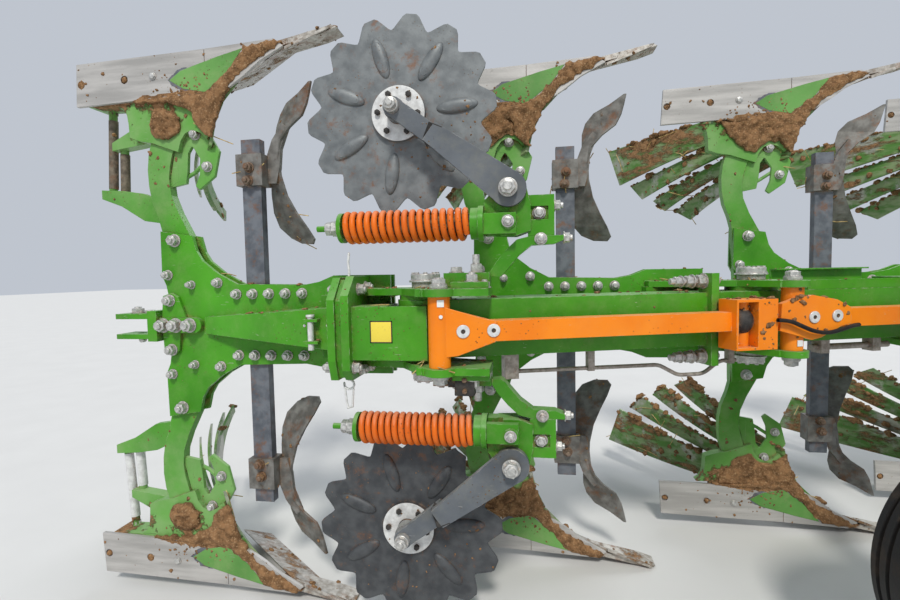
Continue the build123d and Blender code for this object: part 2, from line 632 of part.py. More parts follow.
def rear_box():
    """Box behind the rearmost pivot, with its two bolted flanges, the taper to the side plates and a pin holder."""
    near, low, high = -100, -82, 66
    tube = box(-190, 22, near, near + 10, low, high)
    tube += box(-190, -95, near + 9, 40, high - 10, high) + box(-190, -95, near + 9, 40, low, low + 10)
    tube += box(-215, -100, 30, side_y + 1, low + 10, high - 6)
    front = plate_yz([(-122, low - 26), (-122, high + 32), (-70, high + 84), (side_y + 1, high + 84),
                      (side_y + 1, -138), (-96, -138)], -212, -189)
    rear = plate_yz([(-122, low), (-122, high + 20), (-70, high + 80), (side_y + 1, high + 80),
                     (side_y + 1, -138), (-104, -138)], -252, -230)
    core = box(-231, -211, -60, side_y + 1, low + 14, high - 10)
    wedge = loft([Face(Wire.make_polygon([Vector(-251, -88, -58), Vector(-251, side_y + 1, -58),
                                          Vector(-251, side_y + 1, 62), Vector(-251, -88, 62)])),
                  Face(Wire.make_polygon([Vector(-742, side_y - 14, -28), Vector(-742, side_y + 1, -28),
                                          Vector(-742, side_y + 1, 26), Vector(-742, side_y - 14, 26)]))])
    holder = box(-334, -290, -100, -66, -38, -30) + box(-334, -290, -100, -66, 24, 32)
    holder += rod_z(7, -52, 38, -314, -90)
    return tube + front + rear + core + wedge + holder


def rear_hitch():
    """Clevis for a trailed packer behind the rearmost carrier, on a plate that is bolted to it."""
    y0, y1 = side_y - 30, side_y + 50
    hitch = box(-1056, -906, y0, y1, 22, 39)
    hitch += box(-1056, -906, y0, y1, -44, -28)
    hitch += box(-940, -906.5 - gap, y0, y1, -52, 48)
    hitch += box(-941, -780, side_y - 18, side_y - gap, -25, 25)
    hitch += rod_y(25, side_y - 18, side_y - gap, -780, 0)
    hitch -= rod_z(14, -60, 60, -995, side_y + 10)
    add("rear_hitch", hitch)


def toothed_disc():
    """A disc with flat-ended teeth and pressed bosses, on its hub."""
    points = []
    for k in range(disc_teeth):
        for row in tooth:
            corner = dict(zip(tooth_columns, row))
            a = radians(disc_phase) + 2 * pi * (k + corner["pitch"]) / disc_teeth
            points.append((disc_r * corner["radius"] * cos(a), disc_r * corner["radius"] * sin(a)))
    disc = plate_xz(points, disc_y - disc_t / 2, disc_y + disc_t / 2)
    boss = extrude(Plane.XZ * SlotOverall(boss_length, boss_width), amount=boss_height + 1, taper=35)
    for k in range(disc_bosses):
        turn = boss_phase + 360 * k / disc_bosses
        disc += Pos(0, disc_y - disc_t / 2 + 1, 0) * Rot(0, -turn, 0) * Pos(boss_circle, 0, 0) * boss
    disc += rod_y(hub_r, disc_y - 16, disc_y + 16, 0, 0)
    return disc - rod_y(20, disc_y - 17, disc_y + 17, 0, 0)


def coulter_arm():
    """Flat arm with a joggle, from its pivot on the knuckle to the disc's spindle."""
    length = hypot(arm_x - disc_x, disc_z - arm_z)
    lean = degrees(atan2(disc_z - arm_z, disc_x - arm_x))
    near = arm_y - arm_t / 2
    upper = near + joggle_depth
    bend = joggle_at * length
    arm = rod_y(arm_end_r, near, near + arm_t, 0, 0)
    arm += plate_xz([(0, -arm_end_r + 1), (bend, -28), (bend, 28), (0, arm_end_r - 1)], near, near + arm_t)
    arm += box(bend - 22, bend, near, upper + arm_t, -28, 28)
    arm += plate_xz([(bend - 22, -28), (length, -25), (length, 25), (bend - 22, 28)], upper, upper + arm_t)
    arm += rod_y(27, upper, upper + arm_t, length, 0)
    arm += rod_y(spindle_boss_r, upper + arm_t - 1, disc_y - 16 - run_clear, length, 0)
    arm += rod_y(20 - run_fit, upper + arm_t - 1, disc_y + 24, length, 0)
    arm -= rod_y(12, near - 1, near + arm_t + 1, 0, 0)
    return Pos(arm_x, 0, arm_z) * Rot(0, -lean, 0) * arm


def coulters():
    """Notched disc coulter above and below, each on a sprung arm."""
    disc = toothed_disc()
    add("disc_upper", Pos(disc_x, 0, disc_z) * disc)
    add("disc_lower", Pos(disc_x, 0, -disc_z) * disc)
    add("coulter_arms", both(coulter_arm()))

    ax, az = arm_x, arm_z
    near = arm_y - arm_t / 2
    back = near + arm_t + gap
    far = back + 66
    knuckle = plate_xz([(176, 262), (205, 252), (262, 250), (300, 263), (300, 332), (290, 375), (205, 375),
                        (176, 345)], back, far)
    knuckle += box(292, 362, back + 8, far - 8, 249, 357)
    knuckle += rod_y(42, back, far, ax, az)
    knuckle += box(176, 262, spring_y - 38, spring_y - 18, 254, 309) + box(176, 222, spring_y + 18, far, 254, 309)
    knuckle += rod_y(20, spring_y - 42, back + 1, ax, spring_z)
    knuckle -= box(299, 346, back + 7, back + 16, 292, 327)
    knuckle -= box(170, 219, spring_y - 18, spring_y + 18, 240, 309)
    knuckle += rod_y(12 - run_fit, near - 12, back + 1, ax, az) + rod_y(20, near - 14, near - gap, ax, az)
    add("coulter_knuckles", both(knuckle))

    post_low = plate_top + gap
    post = plate_xz([(110, post_low + 30), (183, post_low + 30), (214, 140), (223, 146), (241, 166), (268, 198),
                     (302, 224), (361, 226), (386, 236), (386, 249 - gap), (298, 249 - gap), (262, 240), (233, 213),
                     (206, 182), (186, 150)], back + 8, back + 50)
    base = box(66, 190, arm_y - 14, arm_y + 45, post_low, post_low + 40) + box(92, 190, arm_y - 60, arm_y - 13,
                                                                              post_low, post_low + 16)
    add("coulter_posts", both(post + base))

    x1 = spring_front
    for length, z in zip(spring_lengths, (spring_z, -spring_z)):
        x0 = x1 - length
        rod = rod_x(spring_rod_r, x0 - 83, 215, spring_y, z)
        cup = rod_x(43, x1 + gap, 176 - gap, spring_y, z) + rod_x(48, 161, 176 - gap, spring_y, z)
        stop = rod_x(42, x0 - 12, x0 - gap, spring_y, z)
        add("coulter_spring_rods", rod + cup + stop)
        inner = spring_r - spring_wire
        add("coulter_springs", rod_x(spring_r, x0, x1, spring_y, z) - rod_x(inner, x0 - 1, x1 + 1, spring_y, z))


def control_rod():
    """Rod that keeps the furrows parallel, pinned to every carrier and to the console."""
    side = rod_pin_x * -beam_s + rod_pin_y * beam_c
    first = rod_pin_x * beam_c + rod_pin_y * beam_s
    last = first + spacing * (furrows - 1)
    h, d = rod_height / 2, rod_depth / 2
    rod = box(first, last, side - d, side + d, -h, h)
    rod -= box(first + 150, last - 60, side - d + rod_wall, side + d - rod_wall, -h + rod_wall, h - rod_wall)
    stations = [first + spacing * k for k in range(furrows)] + [first + pivot_along]
    for s in stations:
        rod += rod_z(rod_boss_r, -plate_low + gap, plate_low - gap, s, side)
    gusset = [(first + 20, -62), (first + 145, -26), (first + 145, 26), (first + 20, 62)]
    rod += plate_xz(gusset, side - 8, side + 8)
    second = stations[1]
    ears = [(second - 75, -30), (second - 70, 48), (second - 25, 62), (second + 30, 70), (second + 112, 55),
            (second + 160, 31), (second + 160, -16), (second + 126, -24), (second + 60, -54), (second + 30, -60)]
    rod += plate_xz(ears, side - d - 14, side - d + 2)
    front = second - 88
    rod += box(front - 130, front, side - d - 20, side + d + 4, -81, 63)
    rod -= box(front - 124, front - 62, side - d - 21, side + d - 4, -73, 55)
    rod += rod_z(20, -74, 56, front - 84, side - 4)
    for s in stations:
        rod -= rod_z(rod_pin_r, -plate_top, plate_top, s, side)
    rod = on_beam(rod)
    add("control_rod", rod)
    for s in stations:
        x, y = along_beam(s, side)
        top = plate_low + (25 if s == stations[-1] else plate_t)
        pin = rod_z(rod_pin_r - run_fit, -top - 12, top + 12, x, y)
        cap = rod_z(24, top + gap, top + 10, x, y)
        add("control_rod_pins", pin + cap + flip(cap))


# ---- build and write ---------------------------------------------------------------------
def build():
    """Make every node in the working frame."""
    headstock()
    turnover()
    beam()
    hose_tray()
    hydraulic_pipe()
    depth_wheel()
    rear_pieces, other_pieces = [{**plough_bodies(rearmost), **skimmers()} for rearmost in (True, False)]
    for k in range(furrows):
        pieces = rear_pieces if k == 0 else other_pieces
        for name, solids in {**carrier(k == 0), **pieces}.items():
            add("%s_%d" % (name, k + 1), [Pos(k * step_x, k * step_y, 0) * s for s in solids])
    rear_hitch()
    coulters()
    control_rod()


def as_solids(shape):
    """The separate solids of a shape."""
    return list(shape.solids())


build()
parts = {name: [s for shape in shapes for s in as_solids(shape)] for name, shapes in nodes.items()}
boxes = [s.bounding_box() for solids in parts.values() for s in solids]
shift = Vector(-(min(b.min.X for b in boxes) + max(b.max.X for b in boxes)) / 2,
               -(min(b.min.Y for b in boxes) + max(b.max.Y for b in boxes)) / 2,
               -min(b.min.Z for b in boxes))

if __name__ == "__main__":
    os.makedirs("parts", exist_ok=True)
    for name, solids in parts.items():
        moved = [Pos(shift) * s for s in solids]
        export_step(moved[0] if len(moved) == 1 else Compound(children=moved), "parts/%s.step" % name)
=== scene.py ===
"""Finish and fittings of a four-furrow reversible mouldboard plough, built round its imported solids.

Metres.  +X is the direction of travel, +Y the plough's left-hand side, +Z up.
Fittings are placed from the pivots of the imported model: at(furrow, x, y, z) is a point in
millimetres from the pivot of a furrow, which is on the centre line of the beam.
"""
import json
from math import cos, hypot, pi, radians, sin
import random

import bmesh
import bpy
from mathutils import Matrix, Vector, noise


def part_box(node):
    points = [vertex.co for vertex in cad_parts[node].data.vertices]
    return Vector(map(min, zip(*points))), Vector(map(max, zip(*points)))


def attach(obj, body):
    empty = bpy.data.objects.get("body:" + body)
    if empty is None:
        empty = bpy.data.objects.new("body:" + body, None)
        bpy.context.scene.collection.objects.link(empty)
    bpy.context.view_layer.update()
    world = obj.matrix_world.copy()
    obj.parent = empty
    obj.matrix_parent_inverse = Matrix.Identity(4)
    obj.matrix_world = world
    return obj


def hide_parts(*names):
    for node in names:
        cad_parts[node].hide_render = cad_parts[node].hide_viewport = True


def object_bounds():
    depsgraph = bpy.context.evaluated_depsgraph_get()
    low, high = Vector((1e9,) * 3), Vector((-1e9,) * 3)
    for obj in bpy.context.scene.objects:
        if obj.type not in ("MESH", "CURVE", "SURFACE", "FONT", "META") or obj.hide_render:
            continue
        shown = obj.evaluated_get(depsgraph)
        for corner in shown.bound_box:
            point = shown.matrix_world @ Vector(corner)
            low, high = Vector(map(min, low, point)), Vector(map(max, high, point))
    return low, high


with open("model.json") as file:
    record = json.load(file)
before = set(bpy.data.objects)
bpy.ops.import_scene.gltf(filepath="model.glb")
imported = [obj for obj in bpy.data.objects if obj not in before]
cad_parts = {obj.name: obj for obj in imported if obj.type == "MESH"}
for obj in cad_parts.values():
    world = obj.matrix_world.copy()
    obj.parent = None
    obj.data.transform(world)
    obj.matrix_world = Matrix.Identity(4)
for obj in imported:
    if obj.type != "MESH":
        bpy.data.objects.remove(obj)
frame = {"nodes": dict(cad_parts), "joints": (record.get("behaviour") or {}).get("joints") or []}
cad_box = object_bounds()
scene = bpy.context.scene
scene.view_settings.view_transform = "Standard"

MM = 0.001
FURROWS = (1, 2, 3, 4)
X, Y, Z = Vector((1, 0, 0)), Vector((0, 1, 0)), Vector((0, 0, 1))
joints = {joint["name"]: joint for joint in frame["joints"]}
pivots = [Vector(joints[f"furrow_{k}_pivot"]["pos_m"]) for k in FURROWS]
frame_pivot = Vector(joints["width_adjust"]["pos_m"])
bearing = Vector(joints["turnover"]["pos_m"])
along = (pivots[3] - pivots[0]).normalized()
across = Vector((-along.y, along.x, 0.0))
spacing = (pivots[3] - pivots[0]).length / 3 / MM

# Millimetres from a furrow's pivot
near_plate, far_plate = 65, 120         # outer faces of a carrier's two side plates
land_face = 56                          # outer face of the landsides
disc_x, disc_z = -76, 618               # hub of a disc coulter
spring_x, spring_y, spring_z = 140, -45, 285.6      # seat of a coulter's spring, at the knuckle
springs = ((360, spring_z), (331, -spring_z))       # length and height of the two springs
# Millimetres from the centre line of the beam
rod_face, cover_face = -165.5, -178.8   # outer faces of the control rod and of its coupling


def at(furrow, x, y, z):
    """A point in millimetres from a furrow's pivot."""
    return pivots[furrow - 1] + Vector((x, y, z)) * MM


def on_beam(s, side, z):
    """A point in millimetres along the beam from its rear pivot, to its left, and above its centre."""
    return pivots[0] + (along * s + across * side + Z * z) * MM


# ---- camera, floor and light ----
def side_camera():
    """Camera low at the machine's right-hand side, next to the rearmost furrow."""
    yaw, pitch, roll = radians(9.298), radians(-3.219), radians(1.120)
    right = Vector((cos(yaw), sin(yaw), 0.0))
    ahead = Vector((-sin(yaw), cos(yaw), 0.0))
    look = cos(pitch) * ahead + sin(pitch) * Z
    over = cos(pitch) * Z - sin(pitch) * ahead
    right, over = cos(roll) * right - sin(roll) * over, cos(roll) * over + sin(roll) * right
    lens = bpy.data.cameras.new("camera")
    lens.lens, lens.sensor_width, lens.sensor_fit = 19.6, 36.0, "HORIZONTAL"
    lens.clip_start, lens.clip_end = 0.02, 200.0
    camera = bpy.data.objects.new("camera", lens)
    turn = Matrix((right, over, -look)).transposed().to_4x4()
    camera.matrix_world = Matrix.Translation(at(1, 296, -1380, 155)) @ turn
    scene.collection.objects.link(camera)
    scene.camera = camera


def pale_floor():
    """A plain pale floor."""
    bm = bmesh.new()
    bmesh.ops.create_grid(bm, x_segments=1, y_segments=1, size=40.0)
    mesh = bpy.data.meshes.new("floor")
    bm.to_mesh(mesh)
    bm.free()
    floor = bpy.data.objects.new("floor", mesh)
    scene.collection.objects.link(floor)
    finish = Finish("pale_floor", roughness=0.85)
    finish.colour(finish.blend(finish.noise(3.0, detail=3), (0.60, 0.60, 0.59), (0.66, 0.66, 0.65)))
    mesh.materials.append(finish.material)


def soft_light():
    """A pale sky with a soft warm sun from the camera's side and a weak one from behind."""
    world = bpy.data.worlds.new("studio")
    world.use_nodes = True
    sky = world.node_tree.nodes["Background"].inputs
    sky["Color"].default_value = (0.84, 0.90, 1.0, 1)
    sky["Strength"].default_value = 0.62
    scene.world = world
    lamps = (("key", (0.10, -1.0, 1.07), 2.3, 9.0, (1.0, 0.965, 0.90)),
             ("back", (0.5, 1.0, 0.9), 0.8, 30.0, (0.95, 0.97, 1.0)))
    for name, direction, strength, spread, tint in lamps:
        light = bpy.data.lights.new(name, "SUN")
        light.energy, light.angle, light.color = strength, radians(spread), tint
        lamp = bpy.data.objects.new(name, light)
        lamp.rotation_euler = (-Vector(direction)).to_track_quat("-Z", "Y").to_euler()
        scene.collection.objects.link(lamp)


# ---- finishes ----
class Finish:
    """One procedural material; every pattern reads Object coordinates."""

    def __init__(self, name, roughness=0.5, metallic=0.0, specular=0.5):
        self.material = bpy.data.materials.new(name)
        self.material.use_nodes = True
        self.tree = self.material.node_tree
        self.shader = self.tree.nodes["Principled BSDF"]
        self.shader.inputs["Roughness"].default_value = roughness
        self.shader.inputs["Metallic"].default_value = metallic
        self.shader.inputs["Specular IOR Level"].default_value = specular
        place = self.tree.nodes.new("ShaderNodeTexCoord")
        self.place = place.outputs["Object"]
        self.facing = self.add("ShaderNodeSeparateXYZ", {"Vector": place.outputs["Normal"]}).outputs["Z"]

    def add(self, kind, inputs=None, **settings):
        """A node with its settings, and its inputs linked or set."""
        node = self.tree.nodes.new(kind)
        for key, value in settings.items():
            setattr(node, key, value)
        for key, value in (inputs or {}).items():
            if isinstance(value, bpy.types.NodeSocket):
                self.tree.links.new(value, node.inputs[key])
            else:
                node.inputs[key].default_value = value
        return node

    def stretch(self, scale, turn=(0, 0, 0)):
        """The coordinates, scaled and turned."""
        change = {"Vector": self.place, "Scale": scale, "Rotation": turn}
        return self.add("ShaderNodeMapping", change).outputs["Vector"]

    def noise(self, scale, detail=4.0, rough=0.55, place=None):
        """Cloudy noise from 0 to 1."""
        look = {"Vector": place or self.place, "Scale": scale, "Detail": detail, "Roughness": rough}
        return self.add("ShaderNodeTexNoise", look).outputs["Fac"]

    def cells(self, scale):
        """Distance to scattered points."""
        return self.add("ShaderNodeTexVoronoi", {"Vector": self.place, "Scale": scale}).outputs["Distance"]

    def band(self, value, low, high, to_low=0.0, to_high=1.0):
        """A smooth step of a value between two limits."""
        limits = {0: value, 1: low, 2: high, 3: to_low, 4: to_high}
        return self.add("ShaderNodeMapRange", limits, interpolation_type="SMOOTHSTEP").outputs[0]

    def patches(self, scale, low, high, **look):
        """Cloudy patches: noise with a smooth step between two limits."""
        return self.band(self.noise(scale, **look), low, high)

    def maths(self, kind, a, b, clamp=False):
        return self.add("ShaderNodeMath", {0: a, 1: b}, operation=kind, use_clamp=clamp).outputs[0]

    def times(self, a, b, clamp=False):
        return self.maths("MULTIPLY", a, b, clamp)

    def plus(self, a, b):
        return self.maths("ADD", a, b)

    def less(self, a, b, clamp=False):
        return self.maths("SUBTRACT", a, b, clamp)

    def either(self, a, b):
        """The larger of two values."""
        return self.maths("MAXIMUM", a, b)

    def blend(self, share, a, b):
        """One colour into another, by a share from 0 to 1."""
        a, b = ((*colour, 1.0) if isinstance(colour, tuple) else colour for colour in (a, b))
        return self.add("ShaderNodeMix", {0: share, 6: a, 7: b}, data_type="RGBA").outputs[2]

    def edges(self, radius):
        """The worn edges: where a rounded normal leaves the flat one."""
        soft = self.add("ShaderNodeBevel", {"Radius": radius}, samples=4).outputs[0]
        flat = self.add("ShaderNodeNewGeometry").outputs["Normal"]
        same = self.add("ShaderNodeVectorMath", {0: soft, 1: flat}, operation="DOT_PRODUCT").outputs["Value"]
        return self.band(same, 0.995, 0.90)

    def corners(self, reach):
        """The sheltered corners, from 0 in the open to 1."""
        open_sky = self.add("ShaderNodeAmbientOcclusion", {"Distance": reach}, samples=6, only_local=False)
        return self.band(open_sky.outputs["AO"], 0.75, 0.25)

    def colour(self, value):
        self.tree.links.new(value, self.shader.inputs["Base Color"])

    def gloss(self, value):
        self.tree.links.new(value, self.shader.inputs["Roughness"])

    def metal(self, value):
        self.tree.links.new(value, self.shader.inputs["Metallic"])

    def relief(self, *layers, rounding=0.0022):
        """Bump layers (height, depth in metres) on softly rounded edges."""
        base = None
        if rounding:
            base = self.add("ShaderNodeBevel", {"Radius": rounding}, samples=4).outputs[0]
        for height, depth in layers:
            bump = {"Height": height, "Distance": depth, "Strength": 1.0}
            if base is not None:
                bump["Normal"] = base
            base = self.add("ShaderNodeBump", bump).outputs[0]
        self.tree.links.new(base, self.shader.inputs["Normal"])


SOIL_DARK = (0.140, 0.074, 0.033)
SOIL = (0.315, 0.172, 0.080)
SOIL_DRY = (0.44, 0.285, 0.155)
DUST = (0.40, 0.37, 0.22)
RUST = (0.20, 0.085, 0.035)


def grey(value):
    return (value, value, value)


def soil_colour(f):
    """Brown soil with lighter dry crumbs, and its lumps."""
    lumps = f.noise(38.0, detail=6, rough=0.68)
    base = f.blend(f.band(lumps, 0.36, 0.62), SOIL_DARK, SOIL)
    return f.blend(f.patches(170.0, 0.52, 0.74, detail=3), base, SOIL_DRY), lumps


def paint(name, deep, bright, wear, dust, splash=0.30, soil_from=None, roughness=0.34):
    """Machine paint: cloudy shade, paler patches of weathered paint that are also a painted sky reflection,
    worn edges, scratches, a painted sky highlight and dust on top faces, soil specks and splashes.

    soil_from is the height of the beam's centre and the two distances from it between which the soil starts.
    """
    f = Finish(name, roughness=roughness, specular=0.28)
    upward = f.band(f.facing, 0.35, 0.95)
    shade = f.blend(f.patches(5.0, 0.3, 0.7, detail=6), deep, bright)
    # Paler cloudy patches: weathered paint, and also a painted sky reflection on the gloss.
    faded_and_sheen = tuple(min(1.0, c * 1.3 + 0.012) for c in bright)
    shade = f.blend(f.times(f.patches(2.2, 0.45, 0.72, detail=5), 0.45), shade, faded_and_sheen)
    worn = f.times(f.edges(0.003), f.patches(60.0, 0.47, 0.64, detail=5))
    fine = f.noise(190.0, detail=2, place=f.stretch((0.15, 1.0, 1.0), (0.2, 0.5, 0.3)))
    scratch = f.times(f.band(fine, 0.68, 0.72), f.patches(9.0, 0.5, 0.62))
    shade = f.blend(f.either(worn, f.times(scratch, 0.5)), shade, wear)
    # Painted highlight: upward faces blend to a paler copy of the paint, standing in for the sky light on top
    # faces.
    sky_lit_top = tuple(min(1.0, c * 0.95 + 0.13) for c in bright)
    patchy = f.band(f.noise(7.0, detail=7, rough=0.7), 0.34, 0.60, 0.35, 0.95)
    shade = f.blend(f.times(upward, patchy), shade, sky_lit_top)
    cloud = f.patches(14.0, 0.42, 0.78, detail=8, rough=0.72)
    dusty = f.times(f.plus(cloud, f.times(upward, f.plus(cloud, 0.55))), dust, clamp=True)
    shade = f.blend(dusty, shade, DUST)
    earth, lumps = soil_colour(f)
    sheltered = f.times(f.corners(0.05), f.patches(26.0, 0.42, 0.60, detail=7, rough=0.7))
    specks = f.times(f.band(f.cells(85.0), 0.16, 0.10), f.patches(6.0, 0.52, 0.62, detail=3))
    soiled = f.either(specks, f.times(sheltered, splash * 2.2, clamp=True))
    if soil_from:
        centre, near, far = soil_from
        height = f.add("ShaderNodeSeparateXYZ", {"Vector": f.place}).outputs["Z"]
        away = f.maths("ABSOLUTE", f.less(height, centre), 0.0)
        pale = (bright[0] + 0.15, bright[1] + 0.08, bright[2] + 0.13)
        patchy = f.band(f.noise(7.0, detail=6), 0.30, 0.65, 0.35, 0.80)
        shade = f.blend(f.times(f.band(away, near - 0.24, far - 0.16), patchy), shade, pale)
        spots = f.plus(f.noise(13.0, detail=9, rough=0.70), f.band(away, near, far, -0.22, 0.14))
        soiled = f.either(soiled, f.band(spots, 0.56, 0.62))
    f.colour(f.blend(soiled, shade, earth))
    f.gloss(f.blend(soiled, f.blend(dusty, grey(roughness), grey(0.80)), grey(0.95)))
    f.relief((f.noise(95.0, detail=2), 0.0003), (f.times(soiled, f.plus(lumps, 0.6)), 0.004))
    return f.material


def steel(name, deep, bright, dirt, metallic, rough=(0.32, 0.62), streaks=(1.0, 1.0, 1.0), speck=0.0,
          grain_size=55.0, rust=0.0):
    """Bare or galvanised steel: brushed streaks, rust and clinging soil."""
    f = Finish(name, metallic=metallic)
    grain = f.noise(grain_size, detail=6, place=f.stretch(streaks))
    shade = f.blend(f.band(grain, 0.3, 0.7), deep, bright)
    if rust:
        bloom = f.patches(19.0, 0.60 - rust * 0.3, 0.78 - rust * 0.3, detail=8, rough=0.75)
        shade = f.blend(f.times(bloom, 0.75), shade, RUST)
    earth, lumps = soil_colour(f)
    cling = f.patches(9.0, 0.74 - dirt * 0.5, 0.84 - dirt * 0.5, detail=8, rough=0.7)
    cling = f.either(cling, f.times(f.corners(0.03), f.band(grain, 0.40, 0.55)))
    if speck:
        dots = f.band(f.cells(120.0), speck, speck * 0.6)
        cling = f.either(cling, f.times(dots, f.patches(14.0, 0.46, 0.60)))
    f.colour(f.blend(cling, shade, earth))
    f.metal(f.band(cling, 0.2, 0.6, metallic, 0.0))
    f.gloss(f.blend(cling, f.blend(grain, grey(rough[0]), grey(rough[1])), grey(0.95)))
    f.relief((f.noise(120.0, detail=3), 0.0003), (f.times(cling, f.plus(lumps, 0.5)), 0.003))
    return f.material


def earth_finish(name):
    """Clinging clay soil: painted shade in its hollows, dry crumbs and fine grit."""
    f = Finish(name, roughness=0.95, specular=0.25)
    base, lumps = soil_colour(f)
    # Painted shade: the soil darkens to under half its colour where ambient occlusion finds hollows.
    f.colour(f.blend(f.times(f.corners(0.02), 0.42), base, tuple(c * 0.42 for c in SOIL)))
    f.relief((lumps, 0.008), (f.noise(210.0, detail=5, rough=0.7), 0.0022), rounding=0)
    return f.material


def straw_finish(name):
    """Dry straw, paler and darker along each stalk."""
    f = Finish(name, roughness=0.6)
    f.colour(f.blend(f.patches(60.0, 0.35, 0.65, detail=3), (0.34, 0.22, 0.075), (0.62, 0.46, 0.20)))
    f.relief((f.noise(400.0, detail=2), 0.0003), rounding=0)
    return f.material


def label_finish(name, colour):
    """A blank sticker with faded and dirty patches."""
    f = Finish(name, roughness=0.42)
    worn = f.patches(90.0, 0.55, 0.72, detail=6, rough=0.7)
    f.colour(f.blend(f.times(worn, 0.5), colour, tuple(c * 0.45 + 0.05 for c in colour)))
    f.gloss(f.blend(worn, grey(0.40), grey(0.75)))
    f.relief((f.noise(240.0, detail=2), 0.0001), rounding=0.0006)
    return f.material


def rubber(name, wear=0.5):
    """Dusty black rubber."""
    f = Finish(name, roughness=0.72, specular=0.3)
    dust = f.patches(12.0, 0.62 - wear * 0.3, 0.92 - wear * 0.2, detail=8, rough=0.7)
    lined = f.times(f.corners(0.012), 0.8)
    f.colour(f.blend(f.either(dust, lined), (0.010, 0.0095, 0.0095), (0.070, 0.052, 0.038)))
    f.gloss(f.blend(dust, grey(0.55), grey(0.92)))
    f.relief((f.noise(150.0, detail=3), 0.0005), rounding=0.001)
    return f.material


def board_finish(name, caked):
    """Mouldboard slats: scoured pale green paint and bare steel under caked soil, from 0 clean to 1."""
    f = Finish(name, roughness=0.5, specular=0.3)
    streak = f.noise(30.0, detail=6, place=f.stretch((0.35, 0.35, 1.0)))
    shade = f.blend(f.band(streak, 0.38, 0.62), (0.085, 0.215, 0.040), (0.23, 0.31, 0.15))
    scoured = f.patches(6.0, 0.52, 0.62, detail=7, rough=0.65)
    shade = f.blend(scoured, shade, (0.40, 0.41, 0.34))
    earth, lumps = soil_colour(f)
    spread = f.noise(9.0, detail=8, rough=0.70, place=f.stretch((0.40, 0.40, 1.1)))
    cake = f.band(spread, 0.70 - 0.25 * caked, 0.78 - 0.25 * caked)
    f.colour(f.blend(cake, shade, earth))
    f.gloss(f.blend(cake, f.blend(scoured, grey(0.45), grey(0.35)), grey(0.95)))
    f.metal(f.times(f.less(scoured, cake, clamp=True), 0.6))
    f.relief((f.noise(120.0, detail=3), 0.0003), (f.times(cake, f.plus(lumps, 0.5)), 0.006))
    return f.material


